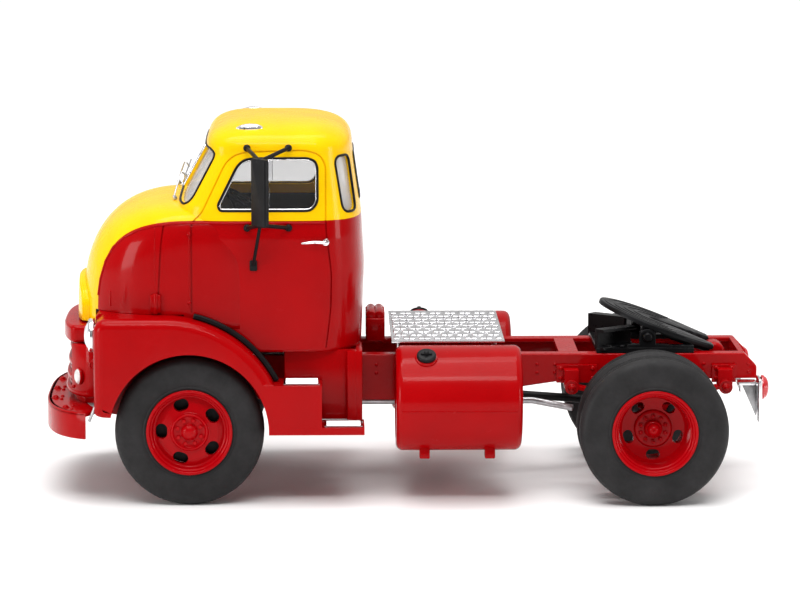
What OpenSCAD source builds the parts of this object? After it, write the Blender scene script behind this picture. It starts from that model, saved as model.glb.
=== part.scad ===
// Cab-over-engine semi truck tractor unit: a 1:43 die-cast scale model.
// Millimetres at the model's own size. +X is forward, +Y is the driver's side, +Z is up.
// The origin is on the ground under the middle of the model.

/* [Chassis] */
// Distance between the two axle centres
wheelbase = 76.5; // [74:0.5:79]
// Front axle centre, forward of the origin
front_axle_x = 36; // [35:0.25:37]
// Outer width across the two frame rails
frame_w = 20; // [19:0.5:20]
// Height of the rails' upper flange
frame_top = 22.8; // [22.5:0.1:23]

/* [Wheels] */
// Outer diameter of every tyre
tyre_d = 24.6; // [24:0.1:24.8]
// Diameter of the wheel rims over their lips
rim_d = 14.2; // [13.6:0.1:14.6]
// Outer face of the front tyres from the centre plane
front_track_y = 25.4; // [25:0.1:25.6]
// Outer face of the rear twin tyres from the centre plane
rear_track_y = 28; // [27.5:0.1:28.2]

/* [Cab] */
// Half width of the cab below its belt line
cab_half_w = 21; // [20.6:0.1:21]
// Height of the belt line, where the two colours meet
belt_z = 46.7; // [46:0.1:47.5]
// Height of the roof's crown
roof_z = 62.8; // [62:0.1:64]
// Thickness of the cast cab walls
cab_wall = 1.1; // [0.9:0.1:1.3]

/* [Tanks] */
// Radius of the round fuel tanks
tank_r = 8.7; // [8:0.1:8.8]
// Length of the fuel tanks
tank_l = 20.8; // [18:0.1:21]

/* [Fifth wheel] */
// Tilt of the coupling plate at rest, nose up
plate_tilt = 21; // [18:0.5:21]
// Radius of the hole that takes a trailer's kingpin
kingpin_r = 1.3; // [1.1:0.1:1.5]

/* [Hidden] */

$fn = 64;
gap = 0.05;                                // clearance between neighbouring pieces
rear_axle_x = front_axle_x - wheelbase;
axle_z = tyre_d / 2;
rail_y = frame_w / 2;                      // outer face of a rail
rail_web = 0.8;
rail_flange = 2.6;
pin_r = 0.9;                               // both steel axle pins
tank_y = 19.5;
tank_z = 17;
tank_rear_x = -18.8;

red = [0.72, 0.02, 0.02];
yellow = [1, 0.8, 0];
black = [0.05, 0.05, 0.05];
steel = [0.55, 0.55, 0.55];
chrome = [0.85, 0.85, 0.87];
clear = [0.8, 0.85, 0.9, 0.4];

// ---------- helpers ----------

// One shape and its mirror image on the other side of the centre plane
module both_sides() {
    children();
    mirror([0, 1, 0]) children();
}

// A side-view outline in X and Z, made solid from y = y0 to y = y1
module side_slab(y0, y1) {
    translate([0, y1, 0]) rotate([90, 0, 0]) linear_extrude(y1 - y0) children();
}

// A round bar along Y from y0 to y1
module bar_y(x, z, r, y0, y1) {
    translate([x, y0, z]) rotate([-90, 0, 0]) cylinder(r = r, h = y1 - y0);
}

// A round bar between two points
module rod(a, b, r) {
    v = b - a;
    l = norm(v);
    translate(a) rotate([0, acos(v[2] / l), atan2(v[1], v[0])]) cylinder(r = r, h = l, $fn = 24);
}

function signed_pow(v, e) = sign(v) * pow(abs(v), e);

// A solid skin over rings of points, each ring closed and all of one length
module skin(rings) {
    n = len(rings[0]);
    m = len(rings);
    polyhedron(
        points = [for (ring = rings) each ring],
        faces = concat(
            [[for (i = [0 : n - 1]) i]],
            [for (j = [0 : m - 2], i = [0 : n - 1])
                [j * n + i, (j + 1) * n + i, (j + 1) * n + (i + 1) % n, j * n + (i + 1) % n]],
            [[for (i = [n - 1 : -1 : 0]) (m - 1) * n + i]]),
        convexity = 6);
}

// ---------- cab shapes ----------
cabin_mid_x = 22;                          // the cabin's widest station
gutter_z = 57.5;                           // where the roof's crown begins
roof_power = 2.8;
nose_x = 36;                               // where the nose begins to round
nose_l = 18.3;
nose_power = 2.65;
nose_crown = 0.07;                         // fall of the hood's top towards its sides
nose_spring_z = 30;                        // below this the nose's walls are upright
nose_top_z = 49.5;
nose_foot_z = 28.8;
cab_foot_z = 25;

function lerp(a, b, t) = a + (b - a) * max(0, min(1, t));
function cabin_half_w(z) = z < 44 ? cab_half_w
    : z < 48 ? lerp(cab_half_w, cab_half_w - 0.7, (z - 44) / 4)
    : lerp(cab_half_w - 0.7, cab_half_w - 2.2, (z - 48) / 9.5);
function cabin_rear_x(z) = z < 38 ? lerp(7.5, 7, (z - 25) / 13)
    : z < belt_z ? lerp(7, 7.5, (z - 38) / (belt_z - 38))
    : lerp(7.5, 9, (z - belt_z) / (gutter_z - belt_z));
function cabin_front_x(z) = lerp(38.2, 33.4, (z - 48.8) / (gutter_z - 48.8));

// One plan ring of the cabin at height z, pulled in by inset and scaled by f for the roof
function cabin_ring(z, z_at, inset, f, n) = [for (i = [0 : n - 1])
    let (t = 360 * i / n,
         c = cos(t),
         front = c >= 0,
         e = 2 / (front ? 5.5 : 4),
         half_l = front ? cabin_front_x(z_at) - cabin_mid_x - inset
                        : cabin_mid_x - cabin_rear_x(z_at) - inset)
    [cabin_mid_x + f * half_l * signed_pow(c, e),
     f * (cabin_half_w(z_at) - inset) * signed_pow(sin(t), 2 / (front ? 5.5 : 4)), z]];

// The cabin's outer volume, or its inside when inset is the wall's thickness
module cabin_volume(inset = 0, foot = cab_foot_z, n = 72) {
    crown = roof_z - gutter_z - inset;
    skin(concat(
        [for (z = [foot, 32, 38, 44, belt_z, 48, 48.8, 52, 55, gutter_z])
            cabin_ring(z, z, inset, 1, n)],
        [for (a = [12 : 12 : 84])
            cabin_ring(gutter_z + crown * pow(sin(a), 2 / roof_power), gutter_z, inset,
                pow(cos(a), 2 / roof_power), n)]));
}

// The cabin's volume from the belt line up, in coarser steps, for its panes
module cabin_glass_volume(inset, foot, n = 40) {
    crown = roof_z - gutter_z - inset;
    skin(concat(
        [for (z = [foot, 48.8, 52, gutter_z]) cabin_ring(z, z, inset, 1, n)],
        [for (a = [20 : 20 : 80])
            cabin_ring(gutter_z + crown * pow(sin(a), 2 / roof_power), gutter_z, inset,
                pow(cos(a), 2 / roof_power), n)]));
}

// One upright section of the nose: straight walls with a rounded top, for angle a from root to tip
function nose_section(a, inset, foot, n) =
    let (k = pow(cos(a), 2 / nose_power),
         u = pow(sin(a), 2 / nose_power),
         x = a == 0 ? nose_x : nose_x + (nose_l - inset) * u,
         w = (cab_half_w - inset) * k,
         h = (nose_top_z - nose_spring_z - inset) * k,
         e = 2 / lerp(10, 2.6, u))
    nose_arch(x, w, h, e, foot, n);
function nose_arch(x, w, h, e, foot, n) = concat([[x, w, foot]],
    [for (i = [0 : n])
        let (t = 180 * i / n,
             y = signed_pow(cos(t), e),
             z = pow(max(0, sin(t)), e) * (1 - nose_crown * y * y))
        [x, w * y, nose_spring_z + h * z]],
    [[x, -w, foot]]);

module nose_volume(inset = 0, foot = nose_foot_z, root = 26, n = 32) {
    skin(concat(
        [nose_arch(root, cab_half_w - inset, nose_top_z - nose_spring_z - inset, 2 / 10, foot, n)],
        [for (a = [0, 8, 16, 24, 32, 40, 48, 56, 64, 72, 79, 85, 88.5])
            nose_section(a, inset, foot, n)]));
}

module cab_solid(inset = 0) {
    cabin_volume(inset, cab_foot_z - (inset > 0 ? 1 : 0));
    difference() {
        nose_volume(inset, nose_foot_z - (inset > 0 ? 1 : 0));
        if (inset == 0)
            translate([36.9, -30, 20]) cube([fender_front_x + 0.2 - 36.9, 60, fender_top_z + gap - 20]);
    }
}

// Everything above the belt line and in front of the side panels: the yellow paint
module upper_region() {
    side_slab(-30, 30) polygon([[0, belt_z], [35.4, belt_z], [38.6, 46.6], [41.6, 46.2],
        [44.4, 45.4], [46.8, 44.1], [48.7, 42.2], [50, 39.8], [50.9, 36.8], [51.3, 34],
        [51.4, 31.2], [51.4, 26], [60, 26], [60, 66], [0, 66]]);
}

module door_glass_outline() {
    polygon([[30.9, 48.3], [31.3, 49.2], [28.2, 55.4], [27.2, 56.5], [25.6, 56.9], [16.4, 56.9],
        [15.2, 56.4], [14.8, 55.4], [14.8, 49.6], [15.9, 48.3]]);
}
module windscreen_outline() {
    for (s = [-1, 1]) scale([s, 1])
        polygon([[0.7, 50.1], [9, 49.9], [14, 49.3], [16.6, 49.1], [17.5, 49.5], [17.8, 50.4],
            [17.3, 57], [16.8, 57.8], [15.8, 58.2], [9, 58.7], [0.7, 58.8]]);
}
module rear_glass_outline() {
    translate([-8.2, 49]) square([16.4, 7.6]);
}
corner_turn = 61;                          // the corner panes face this far round from the side
corner_at = [10.45, 15.4];                 // middle of each corner pane
corner_w = 4.6;
corner_foot_z = 47.8;
corner_top_z = 57;

module corner_cut(grow = 0) {
    translate([corner_at[0], corner_at[1], 0]) rotate([90, 0, 180 + corner_turn])
        translate([0, 0, -3]) linear_extrude(8) offset(delta = grow) polygon([
            [-corner_w / 2, corner_foot_z + 1.8], [-corner_w / 2 + 0.6, corner_foot_z + 0.5],
            [-corner_w / 2 + 1.9, corner_foot_z], [corner_w / 2 - 1.9, corner_foot_z],
            [corner_w / 2 - 0.6, corner_foot_z + 0.5], [corner_w / 2, corner_foot_z + 1.8],
            [corner_w / 2, corner_top_z - 1.8], [corner_w / 2 - 0.6, corner_top_z - 0.5],
            [corner_w / 2 - 1.9, corner_top_z], [-corner_w / 2 + 1.9, corner_top_z],
            [-corner_w / 2 + 0.6, corner_top_z - 0.5], [-corner_w / 2, corner_top_z - 1.8]]);
}

module window_cuts() {
    side_slab(-30, 30) door_glass_outline();
    translate([28, 0, 0]) rotate([90, 0, 90]) linear_extrude(14) windscreen_outline();
    rotate([90, 0, 90]) linear_extrude(13) rear_glass_outline();
    both_sides() corner_cut();
}

module cab_shell() {
    difference() {
        cab_solid();
        cab_solid(cab_wall);
        window_cuts();
    }
}

module cab_upper() {
    color(yellow) intersection() {
        cab_shell();
        upper_region();
    }
}

step_well_x = 20.4;                        // front end of the recess above the steps
step_foot_z = 13.4;
column_x = 10;

module cab_lower() {
    color(red) {
        difference() {
            cab_shell();
            upper_region();
        }
        both_sides() {
            translate([7.5, 11, step_foot_z])
                cube([1.1, cab_half_w - 11, cab_foot_z - step_foot_z]);
            translate([8.6, 18.4, step_foot_z])
                cube([step_well_x - 8.6, 1.1, cab_foot_z - step_foot_z]);
            translate([8.6, 19.5, step_foot_z])
                cube([column_x - 8.6, cab_half_w - 19.5, cab_foot_z - step_foot_z]);
        }
    }
}

// Raised arched panel on the front of the nose, where a nameplate would be
module badge_panel() {
    color(yellow) difference() {
        intersection() {
            nose_volume(-1, nose_foot_z - 0.3);
            translate([48, 0, 0]) rotate([90, 0, 90]) linear_extrude(12) {
                translate([-11, nose_foot_z - 0.2]) square([22, 3]);
                translate([0, nose_foot_z + 2.8]) scale([1, 0.42]) circle(r = 11);
            }
        }
        nose_volume(-gap, nose_foot_z - 1);
        translate([40, -20, 20]) cube([fender_front_x + 0.3 - 40, 40, 20]);
    }
}

// ---------- glass ----------
module glass_shell(inset_a = 0.35, inset_b = 0.8) {
    difference() {
        cabin_glass_volume(inset_a, 46);
        cabin_glass_volume(inset_b, 45);
    }
}

module windscreen() {
    color(clear) intersection() {
        glass_shell();
        translate([28, 0, 0]) rotate([90, 0, 90]) linear_extrude(14)
            offset(delta = -gap) windscreen_outline();
    }
}

module door_windows() {
    color(clear) intersection() {
        glass_shell();
        union() {
            side_slab(12, 30) offset(delta = -gap) door_glass_outline();
            side_slab(-30, -12) offset(delta = -gap) door_glass_outline();
        }
    }
}

module corner_windows() {
    color(clear) intersection() {
        glass_shell();
        both_sides() corner_cut(-gap);
    }
}

module rear_window() {
    color(clear) intersection() {
        glass_shell();
        rotate([90, 0, 90]) linear_extrude(13) offset(delta = -gap) rear_glass_outline();
    }
}

// ---------- cab inside ----------
floor_top_z = 27.5;

module cab_floor() {
    color(black) difference() {
        translate([0, 0, cab_foot_z]) linear_extrude(floor_top_z - cab_foot_z) intersection() {
            polygon([for (p = cabin_ring(0, cab_foot_z, cab_wall + 0.12, 1, 72)) [p[0], p[1]]]);
            translate([0, -30]) square([34.6, 60]);
        }
        for (s = [-1, 1]) translate([front_axle_x, s * 22, axle_z])
            rotate([90, 0, 0]) cylinder(r = 13.2, h = 8, center = true);
    }
}

module bench_seat() {
    color(black) side_slab(-15, 15) polygon([[10.6, floor_top_z + gap], [22, floor_top_z + gap],
        [22, 35], [21, 37], [14, 36.2], [13, 46], [12, 46.8], [10.6, 46.5]]);
}

module dashboard() {
    color(black) side_slab(-17, 17) polygon([[29.5, floor_top_z + gap], [34, floor_top_z + gap],
        [34, 48], [31.5, 47.8], [29.5, 45]]);
}

wheel_x = 26.4;
wheel_z = 48.4;
module steering_wheel() {
    color(black) translate([wheel_x, 9.5, wheel_z]) rotate([0, -32, 0]) {
        rotate_extrude() translate([4.3, 0]) circle(r = 0.35, $fn = 24);
        cylinder(r = 0.8, h = 0.8, center = true);
        for (a = [0, 120, 240]) rotate([0, 0, a]) translate([0, -0.25, -0.2]) cube([4.3, 0.5, 0.4]);
        translate([0, 0, -4.9]) cylinder(r = 0.5, h = 4.9);
    }
}

// ---------- front fenders, steps and strips ----------
fender_front_x = 51.6;
fender_top_z = 31.2;
fender_y = 26.6;
fender_in_y = 18.4;
arch_r = 13.1;
step_box_x = 14.2;
step_box_z = 20.2;
step_end_x = 7.2;
step_low_z = 13.2;
step_base_z = 12;
tread_t = 0.3;

// The fender's crest falls behind the wheel along an arc about this point
crest_r = 20;
crest_x = 40;
crest_z = fender_top_z - crest_r;

module fender_outline() {
    difference() {
        union() {
            polygon([[fender_front_x, 14.9], [fender_front_x, fender_top_z - 1.6],
                [fender_front_x - 0.5, fender_top_z - 0.5], [fender_front_x - 1.6, fender_top_z],
                [crest_x, fender_top_z], [crest_x, 14.9]]);
            intersection() {
                translate([crest_x, crest_z]) circle(r = crest_r, $fn = 160);
                translate([20, step_base_z]) square([crest_x + 0.1 - 20, 30]);
            }
            polygon([[24, step_base_z], [24, step_box_z], [step_box_x, step_box_z],
                [step_box_x, step_low_z], [step_end_x, step_low_z], [step_end_x, step_base_z]]);
        }
        translate([front_axle_x, axle_z]) circle(r = arch_r, $fn = 120);
    }
}

module fender() {
    difference() {
        side_slab(fender_in_y, fender_y) fender_outline();
        translate([0, 0, step_foot_z - gap]) cube([step_well_x + gap, 19.5 + gap, 20]);
        translate([0, 0, step_foot_z - gap]) cube([column_x + gap, cab_half_w + gap, 20]);
        translate([-1, 0, cab_foot_z - gap]) cube([36.9 + 1.1, cab_half_w + gap, 20]);
    }
    // front face between the wheel opening and the grille
    translate([fender_front_x - 1.2, 13, 15.2]) cube([1.2, fender_in_y - 13, fender_top_z - 15.2]);
    // top deck under the side of the nose
    translate([37.2, 8, fender_top_z - 1.2]) cube([fender_front_x - 1.2 - 37.2, fender_in_y - 8, 1.2]);
}

module front_fender_left() { color(red) fender(); }
module front_fender_right() { color(red) mirror([0, 1, 0]) fender(); }

// Black strips that lie along the fenders' crests beside the doors
module fender_strips() {
    color(black) both_sides() side_slab(cab_half_w + 0.15, cab_half_w + 1.5)
        intersection() {
            translate([crest_x, crest_z]) difference() {
                circle(r = crest_r + 1, $fn = 160);
                circle(r = crest_r + gap, $fn = 160);
            }
            translate([10, step_box_z + gap]) square([25.4, 20]);
        }
}

module step_treads() {
    color(chrome) both_sides() {
        translate([step_box_x + 0.3, 20.2, step_box_z + gap]) cube([6, 5.6, tread_t]);
        translate([step_end_x + 0.3, cab_half_w + 0.2, step_low_z + gap])
            cube([step_box_x - step_end_x - 0.7, 4.8, tread_t]);
    }
}

// ---------- grille, lamps and bumper ----------
grille_foot_z = 16.6;
grille_top_z = 25.35;
bar_z = 26.9;                              // centre of the heavy top bar
bar_r = 1.5;

// Plan curve of the grille's face at y, moved forward by d
function grille_x(y, d = 0) = 48 + d + 9.3 * pow(1 - pow(min(1, abs(y) / 17.3), 3), 1 / 3);

module grille_plan(d, half_w, back) {
    polygon(concat([[back, -half_w]],
        [for (i = [0 : 30]) let (y = -half_w + 2 * half_w * i / 30) [grille_x(y, d), y]],
        [[back, half_w]]));
}

module grille() {
    back = fender_front_x + 0.1;
    color(red) {
        // recessed core and its bars
        translate([0, 0, grille_foot_z]) linear_extrude(grille_top_z - grille_foot_z)
            grille_plan(-1.1, 15, back);
        for (z = [grille_foot_z, grille_foot_z + 2.3, grille_foot_z + 4.6, grille_foot_z + 6.9])
            translate([0, 0, z]) linear_extrude(1.2) grille_plan(0, 16.7, back);
        // cheeks that carry the parking lamps
        for (s = [0, 1]) mirror([0, s, 0]) translate([0, 0, grille_foot_z])
            linear_extrude(grille_top_z - grille_foot_z) intersection() {
                grille_plan(0, 16.7, back);
                translate([40, 12.4]) square([20, 6]);
            }
        // heavy top bar
        translate([0, 0, bar_z - bar_r]) linear_extrude(2 * bar_r) difference() {
            grille_plan(0.3, 15.8, back);
            translate([51, -30]) square([0.9, 60]);
        }
    }
}

park_y = 14.6;
park_z = 20.2;
module parking_lamps() {
    color("white") both_sides() translate([grille_x(park_y) + 0.25, park_y, park_z])
        rotate([0, 90, 30]) cylinder(r = 1.25, h = 0.6);
}

lamp_y = 20.6;
lamp_z = 27.8;
module headlamp_bezels() {
    color(chrome) both_sides() translate([fender_front_x + gap, lamp_y, lamp_z]) rotate([0, 90, 0])
        difference() {
            cylinder(r = 2.9, h = 1);
            translate([0, 0, 0.3]) cylinder(r = 2.4, h = 1);
        }
}
module headlamp_lenses() {
    color(clear) both_sides() translate([fender_front_x + gap + 0.35, lamp_y, lamp_z])
        rotate([0, 90, 0]) rotate_extrude() intersection() {
            translate([0, -2.3]) circle(r = 3.9);
            square([2.35, 3]);
        }
}

bumper_foot_z = 11;
bumper_top_z = 15.5;
bumper_end_y = 24.5;
function bumper_x(y, d = 0) = 46 - d + 14.5 * pow(1 - pow(abs(y) / 25.5, 3), 1 / 3);
module bumper_plan(depth) {
    polygon(concat(
        [for (i = [0 : 48]) let (y = -bumper_end_y + 2 * bumper_end_y * i / 48) [bumper_x(y), y]],
        [for (i = [48 : -1 : 0])
            let (y = (-bumper_end_y + 2 * bumper_end_y * i / 48) * (1 - depth / 40))
            [bumper_x(y, depth), y]]));
}
module front_bumper() {
    color(red) {
        translate([0, 0, bumper_foot_z]) linear_extrude(bumper_top_z - bumper_foot_z) bumper_plan(0.8);
        translate([0, 0, bumper_top_z - 0.7]) linear_extrude(0.7) bumper_plan(3);
    }
}
module bumper_irons() {
    color(steel) both_sides()
        translate([50.6, 7.6, 12.6]) cube([59.2 - 50.6, 1.4, 2]);
}

// ---------- frame ----------
rail_front_x = 50.5;
rail_rear_x = -59;

module rail_outline() {
    polygon([[rail_front_x, 16.6], [rail_front_x, 21], [40, frame_top], [-56.9, frame_top],
        [rail_rear_x, 20.6], [rail_rear_x, 18.5], [-27, 18.3], [-14, 16.4], [0, 15], [19, 15], [24, 16.6]]);
}
module rail() {
    difference() {
        side_slab(rail_y - rail_flange, rail_y) rail_outline();
        side_slab(rail_y - rail_flange - 1, rail_y - rail_web) offset(delta = -rail_web) rail_outline();
    }
}
module frame_rail_left() { color(red) rail(); }
module frame_rail_right() { color(red) mirror([0, 1, 0]) rail(); }

screw_r = 1;                               // holes for the display plinth's screws
screw_front_x = 48.8;
screw_rear_x = -48.5;
screw_plate_t = 1;
member_y = rail_y - rail_web - gap;        // crossmembers reach the rails' webs
member_in = rail_y - rail_flange - gap;    // or stop at their flanges

module crossmembers() {
    color(red) {
        // flanged members behind the cab and ahead of the rear axle
        for (x = [12, -27.4]) {
            translate([x - 1.65, -member_in, frame_top - 0.8]) cube([3.3, 2 * member_in, 0.8]);
            translate([x - 1.65, -member_in, frame_top - 3.6]) cube([0.7, 2 * member_in, 3.6]);
        }
        // upright member across the tail
        translate([-57, -member_in, 19.2]) cube([0.9, 2 * member_in, frame_top - 19.2]);
        // flat members that take the plinth's screws, ahead of the engine and behind the axle
        for (p = [[screw_front_x, 16.9], [screw_rear_x, 19.4]]) difference() {
            translate([p[0] - 1.7, -member_in, p[1]]) cube([3.4, 2 * member_in, screw_plate_t]);
            translate([p[0], 0, 0]) cylinder(r = screw_r, h = 40, $fn = 48);
        }
    }
}

module engine_block() {
    color(red) {
        translate([29, -6.6, 14.6]) cube([18, 13.2, 9.8]);
        translate([18.5, -4, 14.6]) cube([10.5 + gap, 8, 6.4]);
    }
}

diff_front_x = rear_axle_x + 4.6;
module driveshaft() {
    color(black) rod([18.4, 0, 17], [diff_front_x + 0.15, 0, 13], 0.7);
}

module exhaust_pipe() {
    color(steel) {
        rod([14, 5.6, 14.1], [-21.5, 5.6, 14.1], 0.55);
        translate([-21.5, 5.6, 14.1]) sphere(r = 0.55, $fn = 24);
        rod([-21.5, 5.6, 14.1], [-28.2, 7.4, 13.1], 0.55);
    }
}

// Leaf pack between x0 and x1: an arched main leaf with shorter leaves stepped below it
module leaf_pack(x0, x1, z_top, rise, y0, y1, leaves) {
    mid = (x0 + x1) / 2;
    half = (x1 - x0) / 2;
    t = 0.5;
    side_slab(y0, y1) polygon(concat(
        [for (i = [-4 : 4]) [mid + half * i / 4, z_top + rise * i * i / 16]],
        [for (k = [0 : leaves - 1], e = [0, 1])
            let (f = 1 - 0.2 * k) if (e == 0 || k < leaves - 1)
            [mid + half * (e == 0 ? f : f - 0.2), z_top - t * (k + 1) + rise * f * f * (e == 0 ? 1 : 0.6)]],
        [for (k = [leaves - 1 : -1 : 0], e = [1, 0])
            let (f = 1 - 0.2 * k) if (e == 0 || k < leaves - 1)
            [mid - half * (e == 0 ? f : f - 0.2), z_top - t * (k + 1) + rise * f * f * (e == 0 ? 1 : 0.6)]]));
}

beam_y = 17.8;
module front_axle_beam() {
    color(red) difference() {
        translate([front_axle_x - 1.3, -beam_y, axle_z - 1.6]) cube([2.6, 2 * beam_y, 3.3]);
        bar_y(front_axle_x, axle_z, pin_r + gap, -30, 30);
    }
}
module front_springs() {
    color(red) both_sides() {
        leaf_pack(front_axle_x - 10.5, front_axle_x + 10.5, 16.1, 0.35, 7.6, 9.8, 4);
        for (x = [front_axle_x - 11.6, front_axle_x + 9.9])
            translate([x, 7.6, 15.2]) cube([1.7, 2.2, 1.35]);
    }
}

spring_y0 = 11;
spring_y1 = 14;
module rear_axle_housing() {
    color(black) difference() {
        union() {
            bar_y(rear_axle_x, axle_z, 1.9, -14.6, 14.6);
            translate([rear_axle_x, 0, axle_z]) rotate([0, 90, 0]) rotate_extrude()
                polygon([[0, -3.2], [1.6, -3.1], [2.9, -2.4], [3.7, -1], [3.7, 1], [2.6, 2.4],
                    [1.5, 3], [1.5, 4.6], [0, 4.6]]);
        }
        bar_y(rear_axle_x, axle_z, pin_r + gap, -30, 30);
    }
}

module rear_springs() {
    color(red) both_sides() {
        leaf_pack(-53.6, -27.4, axle_z + 4.2, 1.6, spring_y0, spring_y1, 4);
        // axle seat under the pack
        translate([rear_axle_x - 1.8, spring_y0, axle_z + 1.9 + gap]) cube([3.6, 3, 0.4]);
        // hangers on the rail's outer face
        for (h = [[-32, -25.2], [-55.4, -51.4]])
            translate([h[0], rail_y + gap, 18]) cube([h[1] - h[0], 0.9, 3]);
        for (x = [-27.6, -53.4]) {
            bar_y(x, axle_z + 5.4, 1.15, rail_y + gap, spring_y1 + 0.3);
            translate([x - 1.2, rail_y + gap, axle_z + 5.4]) cube([2.4, 3.4, 2.8]);
        }
    }
}

// ---------- behind the cab ----------
module tank() {
    translate([tank_rear_x, tank_y, tank_z]) rotate([0, 90, 0]) rotate_extrude($fn = 96)
        polygon(concat([[0, 0]],
            [for (a = [0 : 15 : 90]) [tank_r - 1 + sin(a), 1 - cos(a)]],
            [for (a = [90 : -15 : 0]) [tank_r - 1 + sin(a), tank_l - 1 + cos(a)]],
            [[0, tank_l]]));
    // two feet of the cradle under the tank
    for (x = [-3.6, -14.4]) translate([x, 19.8, tank_z - tank_r - 1]) difference() {
        cube([1.7, 4, 1.6]);
        translate([-1, tank_y - 19.8, tank_r + 1]) rotate([0, 90, 0]) cylinder(r = tank_r - 0.05, h = 5);
    }
    // bracket from the tank to the rail
    translate([-12, rail_y + gap, 16]) cube([4, tank_y - tank_r + 1 - rail_y - gap, 3]);
}
module fuel_tank_left() { color(red) tank(); }
module fuel_tank_right() { color(red) mirror([0, 1, 0]) tank(); }

cap_turn = 32;                             // the filler leans outwards by this much
module filler_caps() {
    color(black) both_sides() translate([-3, tank_y, tank_z]) rotate([-cap_turn, 0, 0])
        translate([0, 0, tank_r + gap]) {
            cylinder(r = 1.5, h = 0.7);
            cylinder(r = 0.35, h = 1.3, $fn = 24);
        }
}

deck_top_z = 26.4;
deck_x0 = -16.2;
deck_x1 = 2.6;
deck_y = 17;
module deck_plate() {
    color(chrome) {
        translate([deck_x0, -deck_y, deck_top_z - 0.6]) cube([deck_x1 - deck_x0, 2 * deck_y, 0.6]);
        // two upright flanges that stand on the rails
        for (x = [deck_x0 + 1, deck_x1 - 1.6])
            translate([x, -rail_y, frame_top + gap]) cube([0.6, 2 * rail_y, deck_top_z - 0.5 - frame_top - gap]);
    }
}

module battery_box() {
    color(red) side_slab(-13, -3) translate([3.4, frame_top + gap]) {
        square([3.2, 4.2]);
        translate([0.9, 4]) square([1.4, 1.3]);
        translate([0.9, 4.2]) intersection() { circle(r = 0.9); translate([-2, 0]) square([4, 2]); }
        translate([2.3, 4.2]) intersection() { circle(r = 0.9); translate([-2, 0]) square([4, 2]); }
    }
}

module air_tank() {
    color(red) translate([-52.6, 0, 21.5]) rotate([90, 0, 0]) rotate_extrude()
        polygon([[0, -2.5], [1.4, -2.4], [1.9, -1.9], [1.9, 1.9], [1.4, 2.4], [0, 2.5]]);
}

// ---------- fifth wheel ----------
pivot_x = rear_axle_x - 0.1;
pivot_z = 25.5;
pivot_r = 0.8;
base_z = frame_top + gap;
plate_low = 1.5;                           // the plate's underside above its pivot, when level
plate_high = 2.3;
plate_r = 9.8;
plate_mid = -1.1;

module fifth_wheel_base() {
    color(black) {
        // sole plates on the rails, joined under the coupling
        difference() {
            translate([-48.4, -9.9, base_z]) cube([16.4, 19.8, 0.8]);
            translate([-50, -5.4, base_z - 1]) cube([11.6, 10.8, 3]);
        }
        // ears that carry the pivot
        both_sides() difference() {
            union() {
                bar_y(pivot_x, pivot_z, 1.35, 8.3, 9.7);
                translate([pivot_x - 1.35, 8.3, base_z + 0.5]) cube([2.7, 1.4, pivot_z - base_z - 0.5]);
                translate([pivot_x - 3.4, 8.3, base_z + 0.5]) cube([6.8, 1.4, 0.9]);
            }
            bar_y(pivot_x, pivot_z, pivot_r + gap, 7, 11);
        }
        // low shelves behind the ears
        both_sides() translate([-48.4, 8.3, base_z + 0.5]) cube([5, 1.4, 0.7]);
        // splayed channels in front, the stops under the level plate
        both_sides() translate([-32.2, 9.4, 0]) rotate([0, 0, 218]) {
            translate([0, 0, base_z + 0.5]) cube([7.6, 0.7, 26.85 - base_z - 0.5]);
            translate([0, -1.5, base_z + 0.5]) cube([7.6, 1.6, 0.5]);
            translate([0, -1.5, 26.35]) cube([7.6, 1.6, 0.5]);
        }
    }
}

module plate_outline() {
    difference() {
        union() {
            translate([plate_mid, 0]) circle(r = plate_r, $fn = 120);
            polygon([[plate_mid, -plate_r], [plate_mid, plate_r], [-6.2, 8.9], [-11.6, 6.2],
                [-11.6, -6.2], [-6.2, -8.9]]);
        }
        // throat that guides the kingpin in from behind
        polygon([[-12, -3.4], [-12, 3.4], [-4.8, 0.75], [-4.8, -0.75]]);
        translate([-5, -0.75]) square([4, 1.5]);
        translate([-1.6, 0]) circle(r = kingpin_r, $fn = 48);
    }
}

module fifth_wheel_plate() {
    color(black) translate([pivot_x, 0, pivot_z]) rotate([0, -plate_tilt, 0]) {
        translate([0, 0, plate_low]) linear_extrude(plate_high - plate_low) plate_outline();
        both_sides() {
            translate([-1.2, 6.7, 0]) cube([2.4, 1.4, plate_low + 0.1]);
            bar_y(0, 0, 1.2, 6.7, 8.1);
            bar_y(0, 0, pivot_r, 8, 9.9);
        }
    }
}

// ---------- tail ----------
module tail_brackets() {
    color(chrome) both_sides() {
        translate([-59.2, 12.6, 12.2]) cube([0.7, 5, 7.3]);
        translate([-58.6, 10.3, 17.9]) cube([3.1, 3.4, 0.6]);
        // tapered cheek on the inner edge
        side_slab(12.6, 13.2) polygon([[-58.6, 12.6], [-58.6, 18], [-56.2, 18]]);
    }
}
module tail_lamps() {
    color([0.75, 0, 0.03]) both_sides() translate([-59.25, 15.4, 17.9]) rotate([0, -90, 0])
        rotate_extrude() polygon([[0, 0], [2.05, 0], [2.05, 0.3], [1.6, 0.9], [0.9, 1.2], [0, 1.25]]);
}

// ---------- small cab fittings ----------
mirror_x = 24.2;
mirror_y = 26.3;
module door_mirror() {
    translate([mirror_x, mirror_y, 46.4]) rotate([0, 0, 38]) translate([-0.6, -1.9, 0])
        cube([1.2, 3.8, 11.2]);
    for (k = [[57.2, 58.6, 19.4], [46.7, 45.6, 21.2]]) {
        for (foot_x = [26.4, 19.6])
            rod([mirror_x, mirror_y, k[0]], [foot_x, k[2], k[1]], 0.35);
    }
    rod([mirror_x, mirror_y, 46.7], [25.4, 21.35, 39.5], 0.3);
}
module mirror_left() { color(black) door_mirror(); }
module mirror_right() { color(black) mirror([0, 1, 0]) door_mirror(); }

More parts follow.
